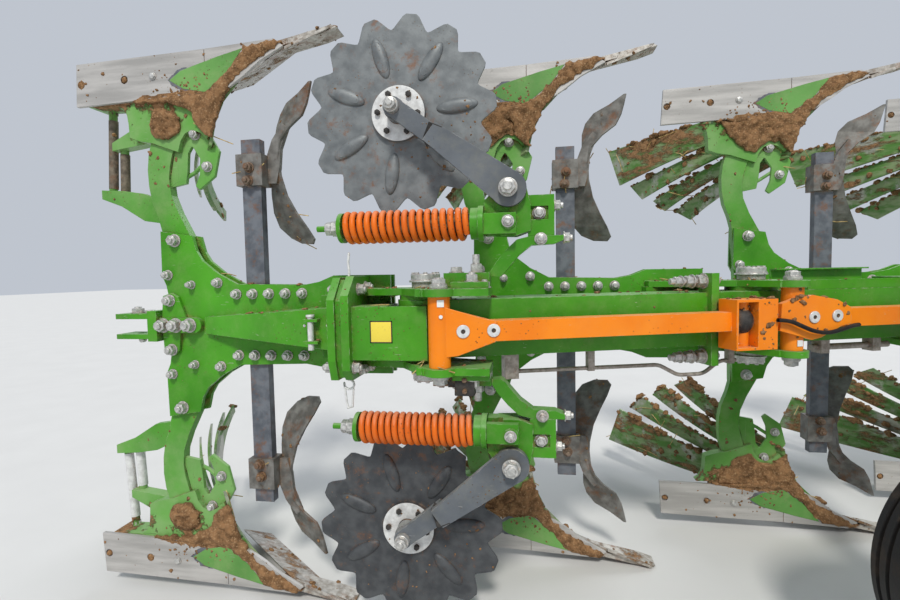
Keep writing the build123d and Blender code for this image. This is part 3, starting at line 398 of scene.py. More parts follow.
def make_finishes():
    """The plough's finishes by name."""
    green = ((0.040, 0.215, 0.007), (0.066, 0.315, 0.011), (0.36, 0.44, 0.28))
    return {
        "green": paint("green_paint", *green, dust=0.15),
        "body_green": paint(
            "body_green_paint", *green, dust=0.24, splash=0.4, soil_from=(pivots[0].z, 0.46, 0.80)),
        "landside_green": paint(
            "landside_paint", (0.085, 0.235, 0.050), (0.135, 0.330, 0.080), (0.34, 0.34, 0.30),
            dust=0.26, splash=0.12, roughness=0.55),
        "orange": paint(
            "orange_paint", (0.82, 0.190, 0.004), (0.90, 0.245, 0.006), (0.66, 0.44, 0.26),
            dust=0.06, splash=0.15, roughness=0.35),
        "spring": paint(
            "spring_paint", (0.62, 0.105, 0.004), (0.80, 0.165, 0.006), (0.50, 0.30, 0.18),
            dust=0.10, splash=0.25, roughness=0.45),
        "grey": paint(
            "dark_grey_paint", (0.075, 0.085, 0.098), (0.135, 0.150, 0.168), (0.34, 0.34, 0.34),
            dust=0.16, splash=0.15, roughness=0.42),
        "land": steel(
            "landside_steel", (0.355, 0.345, 0.330), (0.52, 0.505, 0.485), dirt=0.12, metallic=0.25,
            rough=(0.38, 0.6), streaks=(0.10, 1, 1), speck=0.10, grain_size=40.0),
        "board": board_finish("mouldboard_paint", 0.78),
        "clean_board": board_finish("clean_mouldboard_paint", 0.25),
        "share": steel(
            "share_steel", (0.30, 0.27, 0.23), (0.56, 0.54, 0.50), dirt=0.46, metallic=0.35, rust=0.35),
        "disc": steel(
            "disc_steel", (0.125, 0.138, 0.145), (0.205, 0.222, 0.228), dirt=0.06, metallic=0.30,
            rough=(0.42, 0.62), speck=0.13, grain_size=24.0, rust=0.25),
        # The lower disc: the disc steel darkened, painted shade for the shadow that disc lies in.
        "dark_disc": steel(
            "dark_disc_steel", (0.046, 0.050, 0.056), (0.088, 0.094, 0.100), dirt=0.12, metallic=0.30,
            rough=(0.45, 0.65), speck=0.10, grain_size=24.0, rust=0.2),
        "sleeve": steel(
            "stay_sleeve_steel", (0.085, 0.068, 0.048), (0.21, 0.175, 0.130), dirt=0.30, metallic=0.2,
            rough=(0.55, 0.8), rust=0.3),
        "shank": steel(
            "shank_steel", (0.085, 0.096, 0.115), (0.165, 0.180, 0.205), dirt=0.10, metallic=0.3,
            rough=(0.45, 0.7), rust=0.35, grain_size=30.0),
        "skimmer": steel(
            "skimmer_steel", (0.105, 0.100, 0.090), (0.235, 0.230, 0.215), dirt=0.27, metallic=0.3,
            rough=(0.45, 0.7), rust=0.35, grain_size=30.0),
        "rusty": steel(
            "rusty_steel", (0.11, 0.070, 0.045), (0.27, 0.200, 0.150), dirt=0.35, metallic=0.2,
            rough=(0.6, 0.85), rust=0.55),
        "zinc": steel(
            "galvanised_steel", (0.40, 0.40, 0.385), (0.66, 0.655, 0.63), dirt=0.10, metallic=0.55,
            rough=(0.30, 0.52), rust=0.12, grain_size=120.0),
        "pale": steel(
            "pale_zinc", (0.58, 0.58, 0.57), (0.78, 0.79, 0.78), dirt=0.06, metallic=0.25,
            rough=(0.35, 0.5), grain_size=60.0),
        "black": steel(
            "black_steel", (0.022, 0.021, 0.020), (0.060, 0.055, 0.050), dirt=0.18, metallic=0.3,
            rough=(0.5, 0.75), grain_size=60.0),
        "pipe": steel(
            "pipe_steel", (0.24, 0.21, 0.18), (0.42, 0.38, 0.34), dirt=0.22, metallic=0.45,
            rough=(0.35, 0.6), rust=0.2, grain_size=80.0),
        "chrome": steel(
            "chromed_rod", (0.55, 0.56, 0.57), (0.75, 0.76, 0.77), dirt=0.05, metallic=1.0,
            rough=(0.08, 0.2)),
        "rubber": rubber("tyre_rubber"),
        "hose": rubber("hose_rubber", wear=0.7),
        "soil": earth_finish("clay_soil"),
        "straw": straw_finish("dry_straw"),
        "yellow": label_finish("yellow_label", (0.83, 0.66, 0.07)),
        "white": label_finish("white_label", (0.80, 0.80, 0.78)),
    }


def shade_cad():
    """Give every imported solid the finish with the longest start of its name."""
    finish_of = {start: finish for finish, starts in {
        "green": ("beam", "headstock_frame", "stand_sleeve", "turnover_console", "hose_tray", "wheel_bracket",
                  "wheel_rim", "carrier_", "rear_hitch", "coulter_knuckles", "coulter_posts",
                  "coulter_spring_rods"),
        "body_green": ("legs_",),
        "orange": ("coulter_springs", "control_rod"),
        "grey": ("turnover_cylinder_barrel", "wheel_arm", "coulter_arms"),
        "zinc": ("lower_link_axle", "parking_stand", "turnover_shaft", "turnover_cylinder_pin",
                 "frame_pivot_pin", "furrow_pivot_pins", "control_rod_pins"),
        "chrome": ("turnover_cylinder_rod",),
        "pipe": ("hydraulic_pipe",),
        "rubber": ("wheel_tyre",),
        "clean_board": ("mouldboards_1",),
        "board": ("mouldboards_",),
        "share": ("shares_",),
        "land": ("landsides_",),
        "shank": ("skimmer_shank_",),
        "skimmer": ("skimmers_",),
        # The lower disc takes the darker copy of the disc steel: painted shade.
        "dark_disc": ("disc_lower",),
        "disc": ("disc_upper",),
    }.items() for start in starts}
    for name, solid in frame["nodes"].items():
        longest = max((start for start in finish_of if name.startswith(start)), key=len)
        solid.data.materials.clear()
        solid.data.materials.append(finishes[finish_of[longest]])


# ---- modelling helpers: places are points in metres, and sizes are millimetres ----
def turned(place, axis, spin=0.0):
    """A frame at a point whose Z runs along an axis."""
    upright = axis.to_track_quat("Z", "Y").to_matrix().to_4x4()
    return Matrix.Translation(place) @ upright @ Matrix.Rotation(spin, 4, "Z")


def piece(name, bm, body, finish, sharp=35.0, bevel=0.0):
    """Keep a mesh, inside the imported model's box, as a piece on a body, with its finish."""
    for v in bm.verts:
        v.co = [min(max(c, low), high) for c, low, high in zip(v.co, *cad_box)]
    bmesh.ops.remove_doubles(bm, verts=bm.verts, dist=1e-6)
    bmesh.ops.recalc_face_normals(bm, faces=bm.faces)
    for face in bm.faces:
        face.smooth = True
    for edge in bm.edges:
        edge.smooth = len(edge.link_faces) == 2 and edge.calc_face_angle(0.0) < radians(sharp)
    mesh = bpy.data.meshes.new(name)
    bm.to_mesh(mesh)
    bm.free()
    mesh.materials.append(finishes[finish])
    shape = bpy.data.objects.new(name, mesh)
    scene.collection.objects.link(shape)
    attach(shape, body)
    if bevel:
        rounded = shape.modifiers.new("bevel", "BEVEL")
        rounded.width, rounded.segments, rounded.limit_method = bevel * MM, 2, "ANGLE"
    return shape


def bar(bm, place, axis, r, length, sides=24, chamfer=0.0):
    """A round or many-sided bar that starts at a point and runs along an axis."""
    made = bmesh.ops.create_cone(
        bm, cap_ends=True, cap_tris=False, segments=sides, radius1=r * MM, radius2=r * MM, depth=length * MM,
        matrix=turned(place, axis) @ Matrix.Translation((0, 0, length / 2 * MM)))
    if chamfer:
        far = place + axis.normalized() * length * MM
        tops = {f for v in made["verts"] for f in v.link_faces
                if len(f.verts) == sides and (f.calc_center_median() - far).length < 1e-5}
        bmesh.ops.inset_region(bm, faces=list(tops), thickness=chamfer * MM, depth=chamfer * MM,
                               use_even_offset=True)


def bolt(bm, place, axis, size=24.0, height=15.0, thread=8.0, stick=9.0, washer=1.3, spin=0.3):
    """A nut, its size taken over its flats, on its washer, and the bolt's end that sticks out of it."""
    axis = axis.normalized()
    washer_height, corner_radius = 3, size / 2 / 0.866 * MM
    if washer:
        bar(bm, place, axis, size * washer / 2 * 1.08, washer_height, sides=20)
    base = turned(place + axis * washer_height * MM, axis, spin)
    hexagon = bmesh.ops.create_cone(
        bm, cap_ends=True, cap_tris=False, segments=6, radius1=corner_radius, radius2=corner_radius,
        depth=height * MM, matrix=base @ Matrix.Translation((0, 0, height / 2 * MM)))
    faces = {f for v in hexagon["verts"] for f in v.link_faces}
    top = max(faces, key=lambda f: f.calc_center_median().dot(axis))
    bmesh.ops.inset_region(bm, faces=[top], thickness=0.10 * size * MM, depth=0.05 * size * MM)
    if stick:
        bar(bm, place + axis * (height + 2) * MM, axis, thread, stick, sides=14, chamfer=1.5)


def turn_outline(bm, centre, axis, points, steps):
    """A closed outline turned all round an axis."""
    made = [bm.verts.new(point) for point in points]
    edges = [bm.edges.new((a, b)) for a, b in zip(made, made[1:] + made[:1])]
    bmesh.ops.spin(bm, geom=made + edges, cent=centre, axis=axis, angle=2 * pi, steps=steps, use_merge=True)


def ring(bm, place, axis, inner, outer, height, steps=48, soften=0.0):
    """A flat ring that stands on a point and rises along an axis."""
    axis = axis.normalized()
    side = axis.orthogonal().normalized()
    corners = [(inner, 0), (outer, 0), (outer, height - soften), (outer - soften, height), (inner, height)]
    if not soften:
        del corners[3]
    turn_outline(bm, place, axis, [place + (side * r + axis * h) * MM for r, h in corners], steps)


def wire(bm, points, r):
    """A bent wire through a few points."""
    for a, b in zip(points, points[1:]):
        bar(bm, a, b - a, r, (b - a).length / MM, sides=10)
    for p in points:
        bmesh.ops.create_icosphere(bm, subdivisions=2, radius=r * 1.02 * MM, matrix=Matrix.Translation(p))


def slab(bm, corners, rise):
    """A flat piece from its corners, raised by a vector."""
    face = bm.faces.new([bm.verts.new(c) for c in corners])
    made = bmesh.ops.extrude_face_region(bm, geom=[face])
    bmesh.ops.translate(bm, vec=rise, verts=[v for v in made["geom"] if isinstance(v, bmesh.types.BMVert)])


def block(bm, low, high, soften=0.0):
    """A block between two corners."""
    size = high - low
    made = bmesh.ops.create_cube(bm, size=1.0, matrix=Matrix.Translation((low + high) / 2)
                                 @ Matrix.Diagonal((abs(size.x), abs(size.y), abs(size.z), 1)))
    if soften:
        edges = list({e for v in made["verts"] for e in v.link_edges})
        bmesh.ops.bevel(bm, geom=edges, offset=soften * MM, offset_type="OFFSET", segments=2, profile=0.5,
                        affect="EDGES", material=-1)


def coil(bm, start, axis, length, turns, r, thick):
    """A wound spring that starts at a point and runs along an axis, with a closed turn at each end."""
    length, r, thick = length * MM, r * MM, thick * MM
    side = axis.orthogonal().normalized()
    hoop = bmesh.ops.create_circle(
        bm, cap_ends=False, segments=10, radius=thick,
        matrix=turned(start + axis * thick + side * r, axis.cross(side)))["verts"]
    geometry = hoop + list({e for v in hoop for e in v.link_edges})
    closed_pitch = 2.2 * thick
    open_pitch = (length - 2 * closed_pitch - 2 * thick) / turns
    for count, pitch in ((1, closed_pitch), (turns, open_pitch), (1, closed_pitch)):
        steps = int(count * 24)
        made = bmesh.ops.spin(bm, geom=geometry, cent=start, axis=axis, dvec=axis * (count * pitch / steps),
                              angle=2 * pi * count, steps=steps, use_merge=False)
        geometry = made["geom_last"]
    bmesh.ops.holes_fill(bm, edges=bm.edges, sides=12)


# ---- soil and straw ----
def lump(bm, place, facing, size, seed, flat=0.55, detail=2):
    """A clod of soil lying on a face."""
    size *= MM
    chance = random.Random(seed)
    stretch = Matrix.Diagonal((chance.uniform(0.7, 1.35), chance.uniform(0.7, 1.2), flat, 1))
    lying = turned(place, facing, chance.uniform(0, 2 * pi)) @ stretch
    made = bmesh.ops.create_icosphere(bm, subdivisions=detail, radius=size, matrix=lying)
    shift = Vector((chance.uniform(0, 50), chance.uniform(0, 50), 0))
    for v in made["verts"]:
        v.co += (v.co - place) * 0.75 * noise.noise((v.co - place) * (1.5 / size) + shift)


def inside_by(u, v, outline):
    """How far a point is inside an outline; less than nothing outside it."""
    within, nearest = False, float("inf")
    for (ua, va), (ub, vb) in zip(outline, outline[1:] + outline[:1]):
        if (va > v) != (vb > v) and u < (ub - ua) * (v - va) / (vb - va) + ua:
            within = not within
        run = (ub - ua) ** 2 + (vb - va) ** 2
        t = max(0.0, min(1.0, ((u - ua) * (ub - ua) + (v - va) * (vb - va)) / run))
        nearest = min(nearest, hypot(u - ua - t * (ub - ua), v - va - t * (vb - va)))
    return nearest if within else -nearest


def crust(bm, place_of, outline, rim, thick, step, seed):
    """A crust of soil inside an outline, ragged at its rim and lumpy inside, put on place_of(u, v, height);
    with no thickness it is a flat ragged sheet, used for a painted shadow.
    """
    ragged_by, ragged_over, slope = 11.0, 17.0, 20.0
    (low_u, high_u), (low_v, high_v) = ((min(values), max(values)) for values in zip(*outline))
    wide, high = high_u - low_u, high_v - low_v
    spread = Matrix.Translation(((low_u + high_u) / 2, (low_v + high_v) / 2, 0)) \
        @ Matrix.Diagonal((wide / 2, high / 2, 1, 1))
    patch = bmesh.new()
    bmesh.ops.create_grid(patch, x_segments=int(wide / step), y_segments=int(high / step), size=1.0,
                          matrix=spread)
    bare = []
    for face in patch.faces:
        c = face.calc_center_median()
        ragged = ragged_by * noise.noise(Vector((c.x, c.y, 97.0 * seed)) / ragged_over)
        if inside_by(c.x, c.y, outline) < ragged:
            bare.append(face)
    bmesh.ops.delete(patch, geom=bare, context="FACES")
    for _ in range(4):
        bmesh.ops.smooth_vert(patch, verts=[v for v in patch.verts if v.is_boundary], factor=0.6,
                              use_axis_x=True, use_axis_y=True, use_axis_z=True)
    made = bmesh.ops.extrude_face_region(patch, geom=list(patch.faces))
    for v in [v for v in made["geom"] if isinstance(v, bmesh.types.BMVert)]:
        depth = max(0.0, min(1.0, inside_by(v.co.x, v.co.y, outline) / slope))
        bumps = 0.55 + 0.55 * noise.noise(Vector((v.co.x, v.co.y, 31.0 * seed)) / 24.0) \
            + 0.42 * noise.noise(Vector((v.co.x, v.co.y, 53.0 * seed)) / 8.0)
        v.co.z = rim + thick * depth * max(0.0, bumps)
    for v in patch.verts:
        v.co = place_of(*v.co)
    kept = bpy.data.meshes.new("crust")
    patch.to_mesh(kept)
    patch.free()
    bm.from_mesh(kept)
    bpy.data.meshes.remove(kept)


def scattered(node, count, seed, facing=None, least=0.3, low=None, high=None):
    """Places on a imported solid's surface, evenly by chance, as points with their normals."""
    chance = random.Random(seed)
    faces, areas = [], []
    mesh = frame["nodes"][node].data
    for face in mesh.polygons:
        if facing is not None and face.normal.dot(facing) < least:
            continue
        corners = [mesh.vertices[i].co for i in face.vertices]
        middle = sum(corners, Vector()) / len(corners)
        if low is not None and any(middle[i] < low[i] or middle[i] > high[i] for i in range(3)):
            continue
        faces.append((corners, face.normal.copy()))
        areas.append(face.area)
    places = []
    for corners, normal in chance.choices(faces, areas, k=count) if faces else []:
        a, b = sorted((chance.random(), chance.random()))
        places.append((corners[0] * a + corners[1] * (b - a) + corners[2] * (1 - b), normal))
    return places


def clods(bm, places, smallest, largest, seed, flat=0.55, detail=2):
    """Soil stuck at the given places."""
    chance = random.Random(seed)
    for k, (place, normal) in enumerate(places):
        size = smallest + (largest - smallest) * chance.random() ** 2.2
        lump(bm, place + normal * size * flat * 0.3 * MM, normal, size, seed * 1000 + k, flat, detail)


def stalks(bm, places, shortest, longest, seed):
    """Straws that lie on the given places."""
    chance = random.Random(seed)
    for place, normal in places:
        way = Vector((chance.uniform(-1, 1), chance.uniform(-0.6, 0.6), chance.uniform(-0.4, 0.4)))
        way = (way - normal * way.dot(normal) + normal * chance.uniform(0.0, 0.25)).normalized()
        half = chance.uniform(shortest, longest) * 0.5 * MM
        bend = way.cross(normal).normalized() * half * chance.uniform(-0.4, 0.4)
        start, middle, end = place - way * half, place + bend * 0.6 + normal * 2 * MM, place + way * half
        for a, b in ((start, middle), (middle, end)):
            bar(bm, a, b - a, 1.7, (b - a).length / MM, sides=5)


# ---- carriers and beam ----
def carrier_bolts():
    """Nuts and heads of the bolts through the side plates of every carrier, and of the leg bolts."""
    row = [(-635 + 56.2 * k, z) for z in (98.7, -98.7) for k in range(5)]
    loose = [(x, z * up) for up in (1, -1) for x, z in ((-878, 164), (-794, 131), (-700, 136), (-867, 81))]
    for k in FURROWS:
        bm = bmesh.new()
        for x, z in row + loose:
            size = 20 if x == -794 else 24
            bolt(bm, at(k, x, near_plate, z), -Y, size=size, spin=(x * 0.37) % 1.0)
            bolt(bm, at(k, x, far_plate, z), Y, size=size, height=11, stick=0, spin=(x * 0.53) % 1.0)
        for z in (276, -276):
            bolt(bm, at(k, -848, near_plate, z), -Y, size=30, height=18, thread=10, spin=0.4)
            bolt(bm, at(k, -848, far_plate, z), Y, size=30, height=14, stick=0, spin=0.1)
        piece(f"carrier_bolts_{k}", bm, f"furrow_{k}", "zinc")


def pivot_nuts():
    """Slotted ring nut on every furrow pivot, and the nuts of the control rod's pins."""
    carrier_top, rod_top, frame_rod_top = 129, 123, 128
    washer, nut = 6, 18
    bm = bmesh.new()
    for pivot in pivots:
        for up in (Z, -Z):
            base = pivot + up * carrier_top * MM
            ring(bm, base, up, 25, 47, washer, soften=1.5)
            ring(bm, base + up * washer * MM, up, 25, 42, nut, soften=2)
            for k in range(8):
                a = k * pi / 4 + 0.2
                out = Vector((cos(a), sin(a), 0))
                bar(bm, base + (up * (washer + nut) + out * 34) * MM, up, 6, 4, sides=8)
            bar(bm, base + up * 14 * MM, up, 25, 7, chamfer=3)
    piece("pivot_nuts", bm, "beam", "zinc")
    bm = bmesh.new()
    for pivot in pivots + [frame_pivot]:
        top = frame_rod_top if pivot is frame_pivot else rod_top
        for up in (Z, -Z):
            pin_end = pivot + (X * 61 - Y * 127 + up * top) * MM
            bolt(bm, pin_end, up, size=34, height=12, thread=12, stick=4, washer=1.2)
    piece("rod_pin_nuts", bm, "control_rod", "zinc")


def flange_bolts():
    """Long bolts through the flanges of the rear box and of the beam, and the packing of the rear ones."""
    rear_face, gap_start, gap_width, front_face = -252, -231, 20, -189
    bm = bmesh.new()
    for y, z in ((-40, 112), (-40, -118), (22, 116), (22, -122), (-92, -104)):
        bolt(bm, at(1, rear_face, y, z), -X, size=26, height=16, thread=9, stick=8)
        bar(bm, at(1, gap_start, y, z), X, 9, gap_width, sides=14)
        bolt(bm, at(1, front_face, y, z), X, size=26, height=15, thread=9, stick=6)
    piece("rear_flange_bolts", bm, "furrow_1", "zinc")
    bm = bmesh.new()
    clear = 0.7
    packing = ((-112, -78), (-112, 82), (-64, 140), (60, 140), (60, -132), (-96, -132))
    slab(bm, [at(1, gap_start + clear, y, z) for y, z in packing], X * (gap_width - 2 * clear) * MM)
    piece("flange_packing", bm, "furrow_1", "green")
    bm = bmesh.new()
    for s in (spacing - 202, 2 * spacing - 202):
        for z in (114, -114):
            for back, size in ((12, 34), (50, 30), (86, 26)):
                place = on_beam(s - back, -62, z)
                bolt(bm, place, -along, size=size, height=20, thread=10, stick=14, spin=0.2)
            bolt(bm, on_beam(s + 12, -62, z), along, size=32, height=16, thread=10, stick=8)
    piece("beam_flange_bolts", bm, "beam", "zinc")


def rod_fittings():
    """Cover plates, ring nuts, blank labels and the ball of the control rod."""
    bm = bmesh.new()
    plate = ((30, -64), (62, -62), (163, -29), (163, 28), (128, 34), (30, 66))
    slab(bm, [on_beam(s, rod_face, z) for s, z in plate], across * 8 * MM)
    piece("rod_end_plate", bm, "control_rod", "orange", bevel=1.5)
    nuts, ends = bmesh.new(), bmesh.new()
    for s, side, z in ((76, rod_face, 2), (157, rod_face, 2), (1103, cover_face, 6), (1180, cover_face, 8)):
        ring(nuts, on_beam(s, side, z), -across, 6, 17.5, 4, steps=28, soften=1)
        bar(ends, on_beam(s, side, z), -across, 7, 1.5, sides=6)
    piece("rod_ring_nuts", nuts, "control_rod", "pale")
    ball = Matrix.Translation(on_beam(892, -146, 0)) @ Matrix.Diagonal((1, 1, 1.15, 1))
    bmesh.ops.create_uvsphere(ends, u_segments=32, v_segments=20, radius=34 * MM, matrix=ball)
    piece("coupling_ball", ends, "control_rod", "black")
    bm = bmesh.new()
    for s, z in ((18, 76), (1068, -70)):
        square = [on_beam(s + u, -170.2, z + v) for u, v in ((-9, -9), (9, -9), (9, 9), (-9, 9))]
        slab(bm, square, across * 1.2 * MM)
    for s, z in ((862, -62), (18, 42)):
        bar(bm, on_beam(s, -170, z), -across, 5, 2.5, sides=14)
    piece("rod_labels", bm, "control_rod", "white")


def coupling_hose():
    """Short hose that lies across the coupling of the control rod."""
    line = bpy.data.curves.new("coupling_hose", "CURVE")
    line.dimensions, line.bevel_depth, line.bevel_resolution, line.resolution_u = "3D", 0.006, 3, 8
    route = ((972, -193, 3), (1010, -193, 1), (1052, -194, -18), (1092, -194, -34), (1140, -193, -40),
             (1190, -191, -30), (1232, -182, -22), (1262, -172, -22))
    spline = line.splines.new("NURBS")
    spline.points.add(len(route) - 1)
    for point, (s, side, z) in zip(spline.points, route):
        point.co = (*on_beam(s, side, z), 1.0)
    spline.order_u, spline.use_endpoint_u = 3, True
    line.materials.append(finishes["hose"])
    hose = bpy.data.objects.new("coupling_hose", line)
    scene.collection.objects.link(hose)
    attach(hose, "control_rod")


def rear_box_fittings():
    """Pin, blank label, bent wire and loop of the box behind the rearmost pivot, and the hitch's bolts."""
    bm = bmesh.new()
    bar(bm, at(1, -314, -90, -56), Z, 8.5, 98, sides=18, chamfer=1)
    bar(bm, at(1, -314, -90, 38), Z, 12, 5, sides=18, chamfer=1)
    for x in (-334, -265):
        bar(bm, at(1, x, -84, 13), -Y, 4, 3, sides=10)
    piece("pin_in_holder", bm, "furrow_1", "pale")
    bm = bmesh.new()
    block(bm, at(1, -134, -101.2, -31), at(1, -77, -99.9, 24), soften=0.4)
    piece("blank_yellow_label", bm, "furrow_1", "yellow")
    bm = bmesh.new()
    sides = ((-137, -134, -34, 27), (-77, -74, -34, 27), (-137, -74, 24, 27), (-137, -74, -34, -31))
    for x0, x1, z0, z1 in sides:
        block(bm, at(1, x0, -101.0, z0), at(1, x1, -99.9, z1))
    piece("label_rim", bm, "furrow_1", "black")
    bm = bmesh.new()
    bent = ((-206, -60, 213), (-209, -60, 190), (-206, -62, 160), (-208, -62, 134))
    wire(bm, [at(1, *point) for point in bent], 3.6)
    loop = [at(1, -216 + 15 * sin(0.55 * k), -62, -158 + 14 * cos(0.55 * k)) for k in range(10)]
    hook = [at(1, x, -62, z) for x, z in ((-226, -200), (-222, -226), (-208, -222), (-204, -172))]
    wire(bm, loop + hook, 3.2)
    bar(bm, at(1, -214, -62, -112), -Z, 7, 34, sides=14)
    piece("bent_wires", bm, "furrow_1", "pale")
    bm = bmesh.new()
    for x in (-890, -845, -795):
        bolt(bm, at(1, x, 47, 0), -Y, size=34, height=20, thread=12, stick=10, spin=x * 0.7)
    bolt(bm, at(1, -1006, 75, 39), Z, size=32, height=12, thread=11, stick=6)
    bar(bm, at(1, -960, 75, 39), Z, 16, 8, chamfer=2)
    bar(bm, at(1, -975, 60, -48), -Y, 9, 14, sides=18, chamfer=2)
    piece("hitch_bolts", bm, "furrow_1", "zinc")
    bm = bmesh.new()
    upper_lug = ((-900, 24), (-812, 24), (-838, 93), (-862, 106), (-893, 96))
    lower_lug = ((-900, -24), (-835, -24), (-842, -84), (-866, -104), (-896, -94))
    for lug in (upper_lug, lower_lug):
        slab(bm, [at(1, x, 64.6, z) for x, z in lug], -Y * 12 * MM)
    piece("hitch_lugs", bm, "furrow_1", "green", bevel=2)
    bm = bmesh.new()
    for z in (81, -81):
        bolt(bm, at(1, -867, 52.6, z), -Y, size=28, height=16, thread=10, stick=9, spin=0.5)
    piece("lug_bolts", bm, "furrow_1", "zinc")


def pipe_fittings():
    """Valve block under the rearmost carrier, with its bolts and pipe stub."""
    bm = bmesh.new()
    block(bm, at(1, 96, -116, -172), at(1, 150, -78, -113.5), soften=3)
    block(bm, at(1, 78, -112, -150), at(1, 97, -84, -122), soften=2)
    piece("valve_block", bm, "furrow_1", "black")
    bm = bmesh.new()
    for z in (-128, -158):
        bolt(bm, at(1, 124, -116, z), -Y, size=12, height=6, stick=0, washer=0)
    bar(bm, at(1, 79, -98, -140), -X, 10, 42, sides=18)
    bar(bm, at(1, 66, -98, -140), -X, 14, 14, sides=6)
    piece("valve_bolts", bm, "furrow_1", "rusty")


# ---- coulters ----
def coulter_springs():
    """Wound springs on the coulters' rods, with black guides inside them whose black is also painted shade in
    the gaps between the coils, and the nuts that set them.
    """
    bm = bmesh.new()
    for length, z in springs:
        coil(bm, at(1, spring_x, spring_y, z), -X, length, 14.5, 37.9, 8.5)
    spring = piece("wound_springs", bm, "furrow_1", "spring", sharp=60)
    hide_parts("coulter_springs")
    # Black guide tube inside each spring: a real part, and its black also stands for the shade in the gaps
    # between the coils.
    bm = bmesh.new()
    for length, z in springs:
        ring(bm, at(1, spring_x - 2, spring_y, z), -X, 9, 29, length - 4, steps=32)
    piece("spring_guides_painted_shade", bm, "furrow_1", "black")
    bm = bmesh.new()
    for length, z in springs:
        for back, width, height in ((12, 40, 20), (36, 34, 16)):
            bolt(bm, at(1, spring_x - length - back, spring_y, z), -X, size=width, height=height, stick=0,
                 washer=1.1, spin=0.2)
    piece("spring_nuts", bm, "furrow_1", "zinc")


def disc_fittings(end, up, finish):
    """Hub plate, its bolts and the seven pressed bulges of one disc coulter."""
    disc = f"disc_{end}"
    bm = bmesh.new()
    centre = at(1, disc_x, 25, disc_z * up)
    ring(bm, centre, -Y, 31, 79, 1.6, steps=64, soften=0.5)
    piece(f"hub_plate_{end}", bm, disc, "pale")
    bm = bmesh.new()
    for k in range(6):
        a = radians(56 + 60 * k)
        place = centre + ((X * cos(a) + Z * sin(a)) * 60 - Y * 1.6) * MM
        bolt(bm, place, -Y, size=15, height=7, stick=0, washer=0, spin=a)
    piece(f"hub_bolts_{end}", bm, disc, "black")
    bm = bmesh.new()
    bulge = Matrix.Translation((0.172, 0, 0)) @ Matrix.Diagonal((0.061, 0.013, 0.021, 1))
    for k in range(7):
        spoke = Matrix.Rotation(-radians(4.4 + 360 / 7 * k), 4, "Y") @ bulge
        bmesh.ops.create_uvsphere(bm, u_segments=32, v_segments=16, radius=1.0,
                                  matrix=Matrix.Translation(at(1, disc_x, 38, disc_z * up)) @ spoke)
    piece(f"disc_bulges_{end}", bm, disc, finish)


def coulter_fittings():
    """Fittings of both discs, the bolts of the arms, knuckles and posts, and a painted shadow at the step of
    each arm, above and below.
    """
    disc_fittings("upper", 1, "disc")
    # The lower disc's bulges take the darker disc steel: painted shade.
    disc_fittings("lower", -1, "dark_disc")
    bm = bmesh.new()
    for up in (1, -1):
        bar(bm, at(1, disc_x, -39, disc_z * up), -Y, 21, 16, chamfer=2)
        ring(bm, at(1, 242, -85, 373.6 * up), -Y, 18, 25, 4, steps=32, soften=1)
        for x, y, z, axis, size, height, thread, stick, washer in (
                (disc_x, -53, disc_z, -Y, 31, 14, 10, 6, 0),
                (242, -87, 373.6, -Y, 36, 16, 12, 7, 1.15),
                (322, -34.5, 310, -Y, 26, 12, 9, 6, 1.3),
                (241, -87, spring_z, -Y, 22, 8, 8, 4, 1.4),
                (326, -43, 240, -Y, 24, 13, 8, 8, 1.3),
                (386, -20, 243, X, 24, 13, 8, 8, 1.3),
                (362, -20, 330, X, 24, 13, 8, 8, 1.3),
                (96, -40, 153.3, Z * up, 30, 12, 9, 0, 1.3),
                (151, -40, 153.3, Z * up, 28, 20, 10, 26, 1.3),
                (145, -100, 129.3, Z * up, 28, 16, 10, 6, 1.3),
                (178, -92, 113.3, Z * up, 24, 12, 8, 6, 1.3)):
            bolt(bm, at(1, x, y, z * up), axis, size, height, thread, stick, washer)
    piece("coulter_bolts", bm, "furrow_1", "zinc")
    # Painted shade: a thin black sheet on the arm's near face at its step, where the step lies in shade.
    bm = bmesh.new()
    for up in (1, -1):
        step = ((34, -73, 558), (9, -42, 522), (22, -42, 497), (70, -73, 542))
        slab(bm, [at(1, x, y, z * up) for x, y, z in step], -Y * 1.2 * MM)
    piece("arm_step_shadows", bm, "furrow_1", "black")


# ---- plough bodies: outlines in x and z from the furrow's pivot ----
slat_bracket = [(-868, 452), (-868, 482), (-850, 560), (-800, 640), (-735, 640), (-688, 560), (-708, 480),
                (-764, 440), (-778, 452), (-762, 490), (-758, 540), (-782, 578), (-818, 584), (-835, 560),
                (-838, 510), (-836, 470)]
shin_crust = [(-465, 881), (-438, 866), (-518, 823), (-591, 782), (-621, 751), (-657, 698), (-680, 639),
              (-697, 588), (-715, 600), (-749, 637), (-766, 682), (-855, 715), (-977, 722), (-960, 732),
              (-706, 741), (-625, 803), (-575, 866)]
frog_crust = [(-700, 742), (-960, 730), (-940, 690), (-905, 640), (-868, 606), (-826, 594), (-790, 630),
              (-742, 634), (-712, 622), (-690, 668)]
round_crust = [(-862 + 58 * cos(n * pi / 7), 648 + 52 * sin(n * pi / 7)) for n in range(14)]
paint_tongue = [(-831, 783), (-790, 810), (-661, 842), (-575, 860), (-625, 797), (-706, 737), (-783, 753)]
# Outline of a painted shadow along the rear and lower edge of the paint left on the landside.
tongue_shadow_outline = [(-846, 783), (-800, 816), (-764, 822), (-730, 790), (-700, 726), (-792, 740)]
soil_streak = [(-965, 727), (-700, 729), (-700, 744), (-760, 752), (-830, 752), (-900, 742), (-950, 736)]


